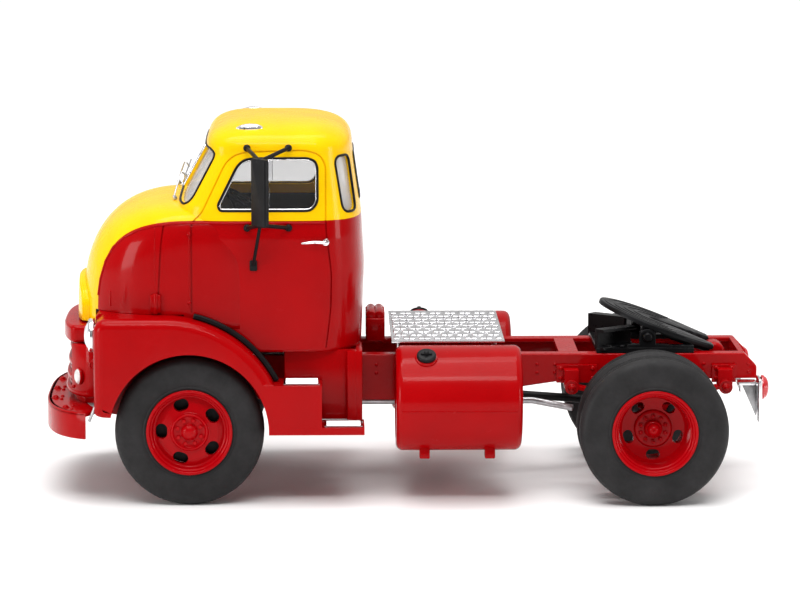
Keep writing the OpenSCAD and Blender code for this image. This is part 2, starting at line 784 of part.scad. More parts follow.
module door_handles() {
    color(chrome) both_sides() {
        translate([13.4, cab_half_w + gap, 43.2]) rotate([-90, 0, 0]) cylinder(r = 0.5, h = 0.9, $fn = 32);
        translate([13.4, cab_half_w + 0.5, 42.85]) cube([4.2, 0.45, 0.6]);
    }
}

module wipers() {
    color(steel) both_sides() {
        rod([38.7, 11, 49.45], [37.6, 8, 53.2], 0.16);
        rod([37.6, 8, 53.2], [36.9, 7.6, 52.6], 0.14);
        rod([37.35, 3.6, 51.4], [36.75, 11.6, 53.4], 0.14);
    }
}

module roof_lamps() {
    color(chrome) both_sides() translate([26, 14.6, 61.72]) rotate([-15.5, 0, 0])
        translate([-2, -0.8, 0.1]) cube([4, 1.6, 0.75]);
}

// ---------- wheels ----------
tyre_w = 5.8;
tyre_in_r = 6.6;                           // the tyre's bead sits inside the rim's lips

// Half section of one tyre, from its inner face at 0 to its outer face at w
module tyre(y0, w) {
    bead_r = tyre_in_r + gap;
    translate([0, y0, 0]) rotate([-90, 0, 0]) rotate_extrude($fn = 144)
        polygon([[bead_r, 0.5], [7.2, 0.1], [9.6, 0], [11.4, 0.3], [12, 0.8],
            [axle_z - 0.1, 1.4], [axle_z, w / 2 - 0.6], [axle_z, w / 2 + 0.6], [axle_z - 0.1, w - 1.4],
            [12, w - 0.8], [11.4, w - 0.3], [9.6, w], [7.2, w - 0.1], [bead_r, w - 0.5]]);
}

hole_count = 5;                            // hand holes in every disc
module hand_holes(radius, length, width, turn) {
    for (i = [0 : hole_count - 1]) rotate([90, turn + 72 * i, 0]) translate([radius, 0, 0])
        for (s = [-1, 1]) translate([0, s * (length - width) / 2, 0])
            cylinder(r = width / 2, h = 20, center = true, $fn = 32);
}

// Front wheel at the origin: shallow dished disc with its outer lip at y = w
module front_wheel() {
    w = tyre_w;
    difference() {
        rotate([-90, 0, 0]) rotate_extrude($fn = 96) polygon([[pin_r, w - 4.2], [2.4, w - 4.2],
            [2.4, w - 2], [5.7, w - 2.4], [5.9, w - 4.6], [tyre_in_r, w - 5.2], [tyre_in_r, w - 0.5],
            [rim_d / 2, w - 0.1], [rim_d / 2, w + 0.35], [6.5, w + 0.35], [6.1, w - 1.2],
            [3.1, w - 0.7], [3.1, w - 0.2], [1.1, w - 0.1], [1, w + 0.4], [0, w + 0.5],
            [0, w - 1], [pin_r, w - 1]]);
        hand_holes(4.7, 2.5, 1.8, 71);
    }
}

// Rear twin wheel at the origin: deep dished disc, its outer lip at y = w, rims to y = 0
module rear_wheel() {
    w = rear_track_y - 15.2;
    flange = w - 5.2;
    difference() {
        rotate([-90, 0, 0]) rotate_extrude($fn = 96) polygon([[pin_r, flange - 1.6],
            [5.6, flange - 1.6], [5.6, 0.7], [tyre_in_r, 0.3], [tyre_in_r, w - 0.5], [rim_d / 2, w - 0.1],
            [rim_d / 2, w + 0.2], [6.5, w + 0.2], [6.1, w - 1], [5.6, flange + 1.2],
            [3, flange], [3, flange + 0.3], [1.3, flange + 0.3], [1.2, flange + 1.8],
            [0.7, flange + 2.2], [0, flange + 2.2], [0, flange], [pin_r, flange]]);
        hand_holes(4.3, 2.2, 1.5, 18);
    }
}

module front_wheel_left() {
    color(red) translate([front_axle_x, front_track_y - tyre_w, axle_z]) front_wheel();
}
module front_wheel_right() {
    color(red) translate([front_axle_x, 0, axle_z]) rotate([0, 0, 180])
        translate([0, front_track_y - tyre_w, 0]) front_wheel();
}
module front_tyre_left() {
    color(black) translate([front_axle_x, 0, axle_z]) tyre(front_track_y - tyre_w, tyre_w);
}
module front_tyre_right() {
    color(black) translate([front_axle_x, 0, axle_z]) mirror([0, 1, 0])
        tyre(front_track_y - tyre_w, tyre_w);
}
module front_axle_pin() {
    y = front_track_y - 1.05;
    color(steel) bar_y(front_axle_x, axle_z, pin_r, -y, y);
}

twin_w = 5.7;
module rear_wheel_left() {
    color(red) translate([rear_axle_x, 15.2, axle_z]) rear_wheel();
}
module rear_wheel_right() {
    color(red) translate([rear_axle_x, 0, axle_z]) rotate([0, 0, 180])
        translate([0, 15.2, 0]) rear_wheel();
}
module twin_tyres() {
    tyre(rear_track_y - twin_w, twin_w);
    tyre(15.2, twin_w);
}
module rear_tyres_left() {
    color(black) translate([rear_axle_x, 0, axle_z]) twin_tyres();
}
module rear_tyres_right() {
    color(black) translate([rear_axle_x, 0, axle_z]) mirror([0, 1, 0]) twin_tyres();
}
module rear_axle_pin() {
    y = rear_track_y - 5.25;
    color(steel) bar_y(rear_axle_x, axle_z, pin_r, -y, y);
}

frame_rail_left();
frame_rail_right();
crossmembers();
engine_block();
driveshaft();
exhaust_pipe();
front_axle_beam();
front_springs();
rear_axle_housing();
rear_springs();
cab_upper();
cab_lower();
badge_panel();
cab_floor();
bench_seat();
dashboard();
steering_wheel();
windscreen();
door_windows();
corner_windows();
rear_window();
front_fender_left();
front_fender_right();
fender_strips();
step_treads();
grille();
parking_lamps();
headlamp_bezels();
headlamp_lenses();
front_bumper();
bumper_irons();
mirror_left();
mirror_right();
door_handles();
wipers();
roof_lamps();
fuel_tank_left();
fuel_tank_right();
filler_caps();
deck_plate();
battery_box();
air_tank();
fifth_wheel_base();
tail_brackets();
tail_lamps();
front_axle_pin();
front_wheel_left();
front_wheel_right();
front_tyre_left();
front_tyre_right();
rear_axle_pin();
rear_wheel_left();
rear_wheel_right();
rear_tyres_left();
rear_tyres_right();
fifth_wheel_plate();
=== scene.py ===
import math

import bmesh
import bpy
from bpy.props import FloatProperty, FloatVectorProperty, IntProperty, PointerProperty
from mathutils import Matrix, Vector
from mathutils.bvhtree import BVHTree
from mathutils.interpolate import poly_3d_calc


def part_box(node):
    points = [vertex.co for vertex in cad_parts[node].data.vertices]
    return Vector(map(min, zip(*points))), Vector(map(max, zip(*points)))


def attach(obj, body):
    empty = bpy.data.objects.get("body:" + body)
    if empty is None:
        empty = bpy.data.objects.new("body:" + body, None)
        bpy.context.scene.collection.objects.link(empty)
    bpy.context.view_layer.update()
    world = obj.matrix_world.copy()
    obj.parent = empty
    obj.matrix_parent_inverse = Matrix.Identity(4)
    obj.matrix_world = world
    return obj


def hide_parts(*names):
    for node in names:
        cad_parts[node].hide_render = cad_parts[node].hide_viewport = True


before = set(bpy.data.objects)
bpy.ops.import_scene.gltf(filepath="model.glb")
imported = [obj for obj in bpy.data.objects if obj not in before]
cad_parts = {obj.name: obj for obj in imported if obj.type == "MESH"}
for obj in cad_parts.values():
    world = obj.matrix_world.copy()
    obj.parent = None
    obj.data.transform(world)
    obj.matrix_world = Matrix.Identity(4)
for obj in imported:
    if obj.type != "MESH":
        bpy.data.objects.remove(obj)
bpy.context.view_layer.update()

bl_info = {
    "name": "Cab-over tractor model",
    "version": (1, 0, 0),
    "blender": (4, 5, 0),
    "location": "3D View > Sidebar > Tractor",
    "description": "Builds the finish of a die-cast tractor unit around its fixed frame",
    "category": "Add Mesh",
}

# Lengths in this file are millimetres at the model's own size; pieces become metres when they are finished.
MM = 0.001


def low(node):
    """Lowest corner of a frame node, in millimetres."""
    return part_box(node)[0] / MM


def high(node):
    """Highest corner of a frame node, in millimetres."""
    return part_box(node)[1] / MM


# ---------- places taken from the frame ----------
FRONT_AXLE = (low("front_tyre_left") + high("front_tyre_left")) / 2
REAR_AXLE = (low("rear_tyres_left") + high("rear_tyres_left")) / 2
TYRE_R = (high("front_tyre_left").z - low("front_tyre_left").z) / 2
AXLE_Z = FRONT_AXLE.z
CAB_HALF_W = 21.0
BELT_Z = 46.7
ROOF_Z = high("cab_upper").z
FENDER_FRONT_X = high("front_fender_left").x
FENDER_TOP_Z = high("front_fender_left").z
FENDER_Y = high("front_fender_left").y
FRAME_TOP = high("frame_rail_left").z
RAIL_Y = high("frame_rail_left").y


# ---------- the settings a user would change ----------
def colour(name, description, default):
    return FloatVectorProperty(name=name, description=description, default=default, subtype="COLOR",
                               size=3, min=0, max=1)


def length(name, description, default):
    return FloatProperty(name=name, description=description, default=default, unit="LENGTH", precision=5,
                         min=0.00001, max=0.01)


class TractorColours(bpy.types.PropertyGroup):
    body_red: colour("Body red", "Gloss paint of the cab, fenders and tanks", (0.315, 0.0002, 0.0012))
    chassis_red: colour("Chassis red", "Paint of the frame, springs and axles", (0.335, 0.0003, 0.0016))
    wheel_red: colour("Wheel red", "Paint of the wheel discs", (0.33, 0.0005, 0.0026))
    roof_yellow: colour("Roof yellow", "Gloss paint above the belt line", (0.83, 0.49, 0.001))
    rubber: colour("Rubber", "Tyres", (0.011, 0.0105, 0.011))
    plastic: colour("Black plastic", "Mirrors, strips and gaskets", (0.0055, 0.0055, 0.006))
    coupling: colour("Coupling black", "Fifth wheel and its base", (0.0045, 0.0045, 0.005))
    trim: colour("Bright trim", "Plated pieces", (0.86, 0.86, 0.88))
    zinc: colour("Bare metal", "Irons, pipe and wipers", (0.45, 0.45, 0.46))


class TractorSizes(bpy.types.PropertyGroup):
    edge_round: length("Edge rounding", "Radius of the castings' small edges", 0.00018)
    seam_width: length("Seam width", "Width of the panel lines cut in the cab", 0.00026)
    seam_depth: length("Seam depth", "Depth of the panel lines", 0.00022)
    gasket_radius: length("Gasket radius", "Radius of the rubber round each window", 0.00019)
    belt_radius: length("Belt radius", "Radius of the moulding under the yellow paint", 0.00024)
    deck_ribs: IntProperty(name="Deck ribs", description="Ribs across the deck plate", default=14,
                           min=6, max=24)
    hub_nuts: IntProperty(name="Hub nuts", description="Nuts on each front hub", default=8, min=5, max=12)


def colours():
    return bpy.context.scene.tractor_colours


def sizes():
    return bpy.context.scene.tractor_sizes


# ---------- materials ----------
FINISH_TAG = "_finish"                     # keeps these apart from the frame's own plain materials


class Nodes:
    """A material's node tree, with a short call to add and wire its nodes."""

    def __init__(self, name):
        self.material = bpy.data.materials.new(name + FINISH_TAG)
        self.material.use_nodes = True
        self.tree = self.material.node_tree
        self.shader = self.tree.nodes["Principled BSDF"]
        self.place = self.add("ShaderNodeTexCoord").outputs["Object"]

    def add(self, kind, **values):
        node = self.tree.nodes.new(kind)
        for key, value in values.items():
            setattr(node, key, value)
        return node

    def wire(self, source, target):
        self.tree.links.new(source, target)

    def noise(self, scale, detail=3.0, rough=0.5):
        node = self.add("ShaderNodeTexNoise")
        node.inputs["Scale"].default_value = scale
        node.inputs["Detail"].default_value = detail
        node.inputs["Roughness"].default_value = rough
        self.wire(self.place, node.inputs["Vector"])
        return node.outputs["Fac"]

    def spread(self, source, lowest, highest, start=0.3, end=0.7):
        node = self.add("ShaderNodeMapRange")
        node.inputs["From Min"].default_value = start
        node.inputs["From Max"].default_value = end
        node.inputs["To Min"].default_value = lowest
        node.inputs["To Max"].default_value = highest
        self.wire(source, node.inputs["Value"])
        return node.outputs["Result"]

    def blend(self, factor, first, second):
        node = self.add("ShaderNodeMix", data_type="RGBA")
        self.wire(factor, node.inputs["Factor"])
        for value, socket in ((first, node.inputs["A"]), (second, node.inputs["B"])):
            if hasattr(value, "is_output"):
                self.wire(value, socket)
            else:
                socket.default_value = (*value, 1)
        return node.outputs["Result"]

    def bump(self, height, strength, distance, under=None):
        node = self.add("ShaderNodeBump")
        node.inputs["Strength"].default_value = strength
        node.inputs["Distance"].default_value = distance
        self.wire(height, node.inputs["Height"])
        if under is not None:
            self.wire(under, node.inputs["Normal"])
        return node.outputs["Normal"]

    def surface(self, base, rough, normal=None, **values):
        self.wire(base, self.shader.inputs["Base Color"])
        self.wire(rough, self.shader.inputs["Roughness"])
        if normal is not None:
            self.wire(normal, self.shader.inputs["Normal"])
        for key, value in values.items():
            self.shader.inputs[key.replace("_", " ")].default_value = value
        return self.material


def shade(base, factor):
    return tuple(min(1.0, c * factor) for c in base)


def gloss_paint(name, base, rough=0.22, peel=0.02):
    """Sprayed gloss paint: a faint mottle, slightly uneven gloss and fine orange peel under a clear coat."""
    n = Nodes(name)
    tone = n.blend(n.spread(n.noise(160, 4), 0, 1), shade(base, 0.93), shade(base, 1.05))
    gloss = n.spread(n.noise(420, 5, 0.6), rough - 0.05, rough + 0.06)
    peel_normal = n.bump(n.noise(2600, 2), peel, 0.00006)
    return n.surface(tone, gloss, peel_normal, IOR=1.12, Coat_Weight=0.13, Coat_Roughness=0.05)


def satin_plastic(name, base, rough=0.38, grain=0.10, scale=5200):
    """Moulded or painted black pieces: fine grain, edges of the sheen broken up."""
    n = Nodes(name)
    tone = n.blend(n.spread(n.noise(300, 4), 0, 1), shade(base, 0.75), shade(base, 1.6))
    gloss = n.spread(n.noise(900, 5, 0.6), rough - 0.08, rough + 0.10)
    return n.surface(tone, gloss, n.bump(n.noise(scale, 3), grain, 0.00008), IOR=1.22)


def moulded_rubber(name, base):
    """Matt rubber with a soft bloom and a very fine moulded grain."""
    n = Nodes(name)
    bloom = n.spread(n.noise(220, 6, 0.65), 0, 1, 0.35, 0.75)
    tone = n.blend(bloom, shade(base, 0.85), shade(base, 1.9))
    gloss = n.spread(n.noise(1400, 5, 0.6), 0.50, 0.68)
    fine = n.bump(n.noise(9000, 3), 0.16, 0.00007)
    return n.surface(tone, gloss, n.bump(n.noise(700, 4), 0.10, 0.00012, fine), IOR=1.3)


def plated(name, base, rough=0.10):
    """Bright plating with faint ripples and cloudy patches."""
    n = Nodes(name)
    tone = n.blend(n.spread(n.noise(500, 4), 0, 1), shade(base, 0.86), shade(base, 1.08))
    gloss = n.spread(n.noise(1100, 5), rough - 0.04, rough + 0.10)
    return n.surface(tone, gloss, n.bump(n.noise(1800, 2), 0.06, 0.00008), Metallic=1.0)


def bare_metal(name, base):
    """Dull cast or drawn metal with a streaky grain."""
    n = Nodes(name)
    tone = n.blend(n.spread(n.noise(700, 6, 0.7), 0, 1), shade(base, 0.7), shade(base, 1.25))
    gloss = n.spread(n.noise(1500, 5, 0.6), 0.26, 0.46)
    return n.surface(tone, gloss, n.bump(n.noise(3600, 3), 0.12, 0.00008), Metallic=0.9)


def clear_pane(name, tint, rough=0.03, body=0.15):
    """Clear plastic glazing with a light haze; a pale tint with a high body also paints in the panes'
    whitish reflection; body is how much of it the eye stops at.
    """
    n = Nodes(name)
    tone = n.blend(n.spread(n.noise(120, 3), 0, 1), tint, shade(tint, 1.6))
    gloss = n.spread(n.noise(240, 4), rough, rough + 0.03)
    return n.surface(tone, gloss, n.bump(n.noise(300, 2), 0.015, 0.0001), Alpha=body, IOR=1.9,
                     Specular_IOR_Level=0.9)


def lamp_glass(name, base):
    """Moulded lamp lens: a soft tint with a fine prismatic pattern."""
    n = Nodes(name)
    tone = n.blend(n.spread(n.noise(900, 3), 0, 1), shade(base, 0.85), shade(base, 1.1))
    gloss = n.spread(n.noise(700, 4), 0.06, 0.14)
    wave = n.add("ShaderNodeTexWave", wave_type="BANDS", bands_direction="Y")
    wave.inputs["Scale"].default_value = 700
    wave.inputs["Distortion"].default_value = 0.3
    n.wire(n.place, wave.inputs["Vector"])
    return n.surface(tone, gloss, n.bump(wave.outputs["Fac"], 0.10, 0.00006), Transmission_Weight=0.25,
                     Coat_Weight=0.6, Coat_Roughness=0.03)


def greased_plate(name, base):
    """Black coupling plate with the rings that turning leaves in its top."""
    n = Nodes(name)
    spot = n.add("ShaderNodeMapping")
    spot.inputs["Location"].default_value = (0.0422, 0, 0)
    n.wire(n.place, spot.inputs["Vector"])
    rings = n.add("ShaderNodeTexWave", wave_type="RINGS", rings_direction="Z", wave_profile="SIN")
    rings.inputs["Scale"].default_value = 190
    rings.inputs["Distortion"].default_value = 1.2
    rings.inputs["Detail"].default_value = 2
    rings.inputs["Detail Scale"].default_value = 2
    n.wire(spot.outputs["Vector"], rings.inputs["Vector"])
    tone = n.blend(n.spread(n.noise(260, 5), 0, 1), shade(base, 0.8), shade(base, 1.9))
    gloss = n.spread(n.noise(500, 5, 0.65), 0.24, 0.42)
    fine = n.bump(n.noise(4200, 3), 0.12, 0.00008)
    return n.surface(tone, gloss, n.bump(rings.outputs["Fac"], 0.35, 0.00022, fine), IOR=1.18)


FLOOR_PAINTED_SHADE_FROM, FLOOR_PAINTED_SHADE_TO = 0.12, 0.34   # painted shade: the sheet's colour darkens in front of the model, on the camera's side
FLOOR_PAINTED_SHADE = (0.55, 0.545, 0.545)


def pale_floor(name):
    """Plain white sheet with a barely visible tooth, and painted shade that darkens it on the camera's side.
    """
    n = Nodes(name)
    tooth = n.blend(n.spread(n.noise(9, 3), 0, 1), (0.90, 0.895, 0.895), (0.93, 0.925, 0.925))
    across = n.add("ShaderNodeSeparateXYZ")
    n.wire(n.place, across.inputs[0])
    # painted shade: the white fades to a grey towards the camera
    tone = n.blend(n.spread(across.outputs["Y"], 0, 1, FLOOR_PAINTED_SHADE_FROM, FLOOR_PAINTED_SHADE_TO), tooth, FLOOR_PAINTED_SHADE)
    gloss = n.spread(n.noise(40, 3), 0.55, 0.65)
    return n.surface(tone, gloss, n.bump(n.noise(1500, 3), 0.03, 0.0001))


FINISHES = {
    "red_paint": lambda c: gloss_paint("red_paint", c.body_red),
    "yellow_paint": lambda c: gloss_paint("yellow_paint", c.roof_yellow, 0.26),
    "chassis_red": lambda c: gloss_paint("chassis_red", c.chassis_red, 0.27, 0.04),
    "wheel_red": lambda c: gloss_paint("wheel_red", c.wheel_red, 0.22, 0.03),
    "black_part": lambda c: satin_plastic("black_part", c.plastic),
    "cab_trim": lambda c: satin_plastic("cab_trim", shade(c.plastic, 1.4), 0.55, 0.25, 2400),
    "coupling_black": lambda c: satin_plastic("coupling_black", c.coupling, 0.32),
    "coupling_plate": lambda c: greased_plate("coupling_plate", c.coupling),
    "grey_metal": lambda c: bare_metal("grey_metal", c.zinc),
    "axle_steel": lambda c: bare_metal("axle_steel", shade(c.zinc, 1.2)),
    "bright_trim": lambda c: plated("bright_trim", c.trim),
    "deck_metal": lambda c: plated("deck_metal", shade(c.trim, 0.93), 0.24),
    "clear_glazing": lambda c: clear_pane("clear_glazing", (0.03, 0.032, 0.034)),
    # painted reflection: the pale tint at almost half body whitens the windscreen, corner and rear panes as
    # a reflection would; a little of it is the plastic's own haze
    "screen_glazing_painted_reflection": lambda c: clear_pane("screen_glazing_painted_reflection", (0.54, 0.53, 0.52), 0.04, 0.45),
    "headlamp_glass": lambda c: lamp_glass("headlamp_glass", (0.86, 0.88, 0.90)),
    "lamp_white": lambda c: lamp_glass("lamp_white", (0.88, 0.88, 0.86)),
    "lamp_red": lambda c: lamp_glass("lamp_red", (0.62, 0.003, 0.010)),
    "tyre_rubber": lambda c: moulded_rubber("tyre_rubber", c.rubber),
    "pale_floor": lambda c: pale_floor("pale_floor"),
}


def finish(name):
    """The material of that name, made the first time that it's asked for."""
    return bpy.data.materials.get(name + FINISH_TAG) or FINISHES[name](colours())


# ---------- mesh helpers ----------
def piece(bm, name, body, material, replaces=(), angle=34):
    """A bmesh in millimetres becomes a finished object in metres that rides on its body."""
    bmesh.ops.remove_doubles(bm, verts=bm.verts, dist=0.0002)
    bmesh.ops.recalc_face_normals(bm, faces=bm.faces)
    bmesh.ops.scale(bm, vec=(MM, MM, MM), verts=bm.verts)
    for face in bm.faces:
        face.smooth = True
    mesh = bpy.data.meshes.new(name)
    bm.to_mesh(mesh)
    bm.free()
    mesh.set_sharp_from_angle(angle=math.radians(angle))
    return placed(mesh, name, body, material, replaces)


def placed(mesh, name, body, material, replaces=()):
    """An object for a mesh that is already in metres, in the row frame."""
    mesh.materials.clear()
    mesh.materials.append(finish(material))
    made = bpy.data.objects.new(name, mesh)
    bpy.context.scene.collection.objects.link(made)
    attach(made, body)
    if replaces:
        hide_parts(*replaces)
    return made


def soft_edges(made, radius=None, segments=2, angle=40):
    """Rounds the sharp edges of a finished piece."""
    bevel = made.modifiers.new("soft edges", "BEVEL")
    bevel.width = radius if radius else sizes().edge_round
    bevel.segments = segments
    bevel.limit_method = "ANGLE"
    bevel.angle_limit = math.radians(angle)
    bevel.use_clamp_overlap = True
    bevel.harden_normals = False
    return made


def add(bm, part, where=None):
    """Puts one bmesh into another, moved by a matrix, and frees it."""
    mesh = bpy.data.meshes.new("part")
    part.to_mesh(mesh)
    part.free()
    if where is not None:
        mesh.transform(where)
    bm.from_mesh(mesh)
    bpy.data.meshes.remove(mesh)


SIDES = ("left", "right")
MIRROR = Matrix.Diagonal((1, -1, 1, 1))


def mirrored(bm):
    """A second bmesh, the first one's mirror image across the middle."""
    twin = bm.copy()
    twin.transform(MIRROR)
    bmesh.ops.reverse_faces(twin, faces=twin.faces)
    return twin


def on_the(side, bm):
    """A left-hand bmesh as it is, or its mirror image for the right."""
    return mirrored(bm) if side == "right" else bm


def both_sides(bm):
    """Adds the mirror image of everything so far."""
    add(bm, mirrored(bm))
    return bm


def round_edges(bm, edges, radius, segments=2, clamp=True):
    """Rounds the given edges; without clamp they may run into each other."""
    if edges and radius:
        bmesh.ops.bevel(bm, geom=edges, offset=radius, offset_type="OFFSET", segments=segments, profile=0.5,
                        affect="EDGES", material=-1, clamp_overlap=clamp)


def block(lowest, highest, radius=0.16, segments=2):
    """A box with rounded edges."""
    bm = bmesh.new()
    a, b = Vector(lowest), Vector(highest)
    where = Matrix.Translation((a + b) / 2) @ Matrix.Diagonal((*(b - a), 1))
    bmesh.ops.create_cube(bm, size=1, matrix=where)
    round_edges(bm, list(bm.edges), radius, segments)
    return bm


def rod(start, end, radius, end_radius=None, segments=16, soft=0.0):
    """A round bar or cone between two points."""
    bm = bmesh.new()
    a, b = Vector(start), Vector(end)
    where = Matrix.Translation((a + b) / 2) @ (b - a).to_track_quat("Z", "Y").to_matrix().to_4x4()
    bmesh.ops.create_cone(bm, cap_ends=True, segments=segments, radius1=radius,
                          radius2=radius if end_radius is None else end_radius,
                          depth=(b - a).length, matrix=where)
    rims = [e for e in bm.edges if any(len(f.verts) > 4 for f in e.link_faces)]
    round_edges(bm, rims, soft)
    return bm


def dome(centre, radius, flatten=1.0, segments=16, axis=(0, 0, 1)):
    """A ball, squashed along an axis: bolt heads, knobs and rivets."""
    bm = bmesh.new()
    turn = Vector(axis).to_track_quat("Z", "Y").to_matrix().to_4x4()
    bmesh.ops.create_uvsphere(bm, u_segments=segments, v_segments=max(6, segments // 2), radius=radius,
                              matrix=Matrix.Translation(centre) @ turn @ Matrix.Diagonal((1, 1, flatten, 1)))
    return bm


def nut(centre, radius, height, axis, turn=0.0):
    """A hexagon nut with chamfered corners."""
    a = Vector(axis).normalized()
    bm = bmesh.new()
    where = Matrix.Translation(Vector(centre) + a * height / 2)
    where = where @ a.to_track_quat("Z", "Y").to_matrix().to_4x4()
    bmesh.ops.create_cone(bm, cap_ends=True, segments=6, radius1=radius, radius2=radius, depth=height,
                          matrix=where @ Matrix.Rotation(turn, 4, "Z"))
    round_edges(bm, list(bm.edges), radius * 0.18, 1)
    return bm


AXES = {"x": lambda a, b, h: (h, a, b), "y": lambda a, b, h: (a, h, b), "z": lambda a, b, h: (a, b, h)}


def prism(outline, axis, start, end):
    """A flat outline made solid along one axis."""
    bm = bmesh.new()
    face = bm.faces.new([bm.verts.new(AXES[axis](a, b, start)) for a, b in outline])
    grown = bmesh.ops.extrude_face_region(bm, geom=[face])["geom"]
    bmesh.ops.translate(bm, vec=AXES[axis](0, 0, end - start),
                        verts=[g for g in grown if isinstance(g, bmesh.types.BMVert)])
    bmesh.ops.recalc_face_normals(bm, faces=bm.faces)
    return bm


def rim_edges(bm, axis):
    """A prism's edges that lie square to its axis, given as 0, 1 or 2."""
    return [e for e in bm.edges if abs(e.verts[0].co[axis] - e.verts[1].co[axis]) < 1e-6]


def rounded_prism(outline, axis, start, end, radius, segments=2):
    """A prism with every edge rounded."""
    bm = prism(outline, axis, start, end)
    round_edges(bm, list(bm.edges), radius, segments)
    return bm


def soften(points, radius, steps=4, closed=True):
    """A flat outline with every corner rounded by about radius."""
    out = []
    count = len(points)
    for i, point in enumerate(points):
        here = Vector(point)
        if not closed and i in (0, count - 1):
            out.append(tuple(here))
            continue
        back, on = Vector(points[i - 1]) - here, Vector(points[(i + 1) % count]) - here
        cut = min(radius, back.length * 0.48, on.length * 0.48)
        if cut < 0.01:
            out.append(tuple(here))
            continue
        start, end = here + back.normalized() * cut, here + on.normalized() * cut
        for k in range(steps + 1):
            t = k / steps
            out.append(tuple(start * (1 - t) ** 2 + here * 2 * t * (1 - t) + end * t * t))
    return out


def arc(centre, radius, start, end, count):
    """Points along an arc, from one angle in degrees to another."""
    angles = [math.radians(start + (end - start) * k / count) for k in range(count + 1)]
    return [(centre[0] + radius * math.cos(a), centre[1] + radius * math.sin(a)) for a in angles]


def around(radius, count):
    """The angle and the two coordinates of each of count places round a circle."""
    turns = [2 * math.pi * k / count for k in range(count)]
    return [(a, radius * math.cos(a), radius * math.sin(a)) for a in turns]


def ring(radius, thickness, count):
    """A round section to be turned into a ring."""
    return [(radius + a, b) for _, a, b in around(thickness, count)]


def bulge(radius, start, height, count):
    """A lens's domed outer profile, from its rim in to its middle."""
    turns = [math.pi / 2 * k / count for k in range(count + 1)]
    return [(radius * math.cos(a), start + height * math.sin(a)) for a in turns]


def shrunk(outline, amount):
    """A flat outline pulled in towards its middle by about amount."""
    middle = sum((Vector(p) for p in outline), Vector((0, 0))) / len(outline)
    out = []
    for i, point in enumerate(outline):
        a, b = Vector(outline[i - 1]), Vector(outline[(i + 1) % len(outline)])
        across = (b - a).orthogonal().normalized()
        if across.dot(middle - Vector(point)) < 0:
            across = -across
        out.append(tuple(Vector(point) + across * amount))
    return out


def sampled(points, step, closed=True):
    """Points every step or so along a line, its corners included."""
    out = []
    ends = list(zip(points, points[1:] + points[:1])) if closed else list(zip(points, points[1:]))
    for a, b in ends:
        a, b = Vector(a), Vector(b)
        count = max(1, round((b - a).length / step))
        out += [tuple(a.lerp(b, k / count)) for k in range(count)]
    return out if closed else out + [tuple(points[-1])]


def sampled_range(start, end, step):
    """Even steps from start to end, both included."""
    count = max(1, round((end - start) / step))
    return [start + (end - start) * k / count for k in range(count + 1)]


def ribbon(path, width):
    """A narrow band of even width along an open flat path."""
    sides = []
    for i, point in enumerate(path):
        a, b = Vector(path[max(0, i - 1)]), Vector(path[min(len(path) - 1, i + 1)])
        across = (b - a).orthogonal().normalized() * width / 2
        sides.append((Vector(point) + across, Vector(point) - across))
    return [tuple(s[0]) for s in sides] + [tuple(s[1]) for s in reversed(sides)]


def turned(profile, segments=96, closed=True):
    """A profile of (radius, height) points spun about Z."""
    bm = bmesh.new()
    verts = [bm.verts.new((r, 0, h)) for r, h in profile]
    edges = [bm.edges.new(pair) for pair in zip(verts, verts[1:])]
    if closed:
        edges.append(bm.edges.new((verts[-1], verts[0])))
    bmesh.ops.spin(bm, geom=verts + edges, cent=(0, 0, 0), axis=(0, 0, 1), angle=2 * math.pi,
                   steps=segments, use_merge=True, use_duplicate=False)
    bmesh.ops.remove_doubles(bm, verts=bm.verts, dist=0.0005)
    bmesh.ops.recalc_face_normals(bm, faces=bm.faces)
    return bm


ALONG_X = Matrix.Rotation(math.pi / 2, 4, "Y")
ALONG_Y = Matrix.Rotation(-math.pi / 2, 4, "X")


def tube(points, radius, closed=False, sides=2):
    """A round bead along a line of points."""
    curve = bpy.data.curves.new("bead", "CURVE")
    curve.dimensions = "3D"
    curve.bevel_depth = radius
    curve.bevel_resolution = sides
    curve.use_fill_caps = True
    spline = curve.splines.new("POLY")
    spline.points.add(len(points) - 1)
    for slot, point in zip(spline.points, points):
        slot.co = (*point, 1)
    spline.use_cyclic_u = closed
    holder = bpy.data.objects.new("bead", curve)
    bpy.context.scene.collection.objects.link(holder)
    mesh = bpy.data.meshes.new_from_object(holder.evaluated_get(bpy.context.evaluated_depsgraph_get()))
    bm = bmesh.new()
    bm.from_mesh(mesh)
    bpy.data.objects.remove(holder)
    bpy.data.curves.remove(curve)
    bpy.data.meshes.remove(mesh)
    return bm


def combine(first, operation, *others):
    """The union, difference or intersection of solids, which are used up."""
    made = []
    for bm in (first, *others):
        mesh = bpy.data.meshes.new("solid")
        bm.to_mesh(mesh)
        bm.free()
        made.append(bpy.data.objects.new("solid", mesh))
        bpy.context.scene.collection.objects.link(made[-1])
    for tool in made[1:]:
        step = made[0].modifiers.new("combine", "BOOLEAN")
        step.operation = operation
        step.object = tool
        step.solver = "MANIFOLD"
    mesh = bpy.data.meshes.new_from_object(made[0].evaluated_get(bpy.context.evaluated_depsgraph_get()))
    result = bmesh.new()
    result.from_mesh(mesh)
    for one in made:
        bpy.data.objects.remove(one)
    bpy.data.meshes.remove(mesh)
    if not result.faces:
        raise RuntimeError("a solid was lost while combining shapes")
    return result


def cad_copy(node, flatten=2.0):
    """A frame node's shape as a bmesh in millimetres, merged, with its flat faces whole."""
    bm = bmesh.new()
    bm.from_mesh(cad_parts[node].data)
    bmesh.ops.scale(bm, vec=(1 / MM,) * 3, verts=bm.verts)
    bmesh.ops.remove_doubles(bm, verts=bm.verts, dist=0.002)
    bmesh.ops.dissolve_limit(bm, angle_limit=math.radians(flatten), use_dissolve_boundaries=False,
                             verts=bm.verts, edges=bm.edges)
    return bm


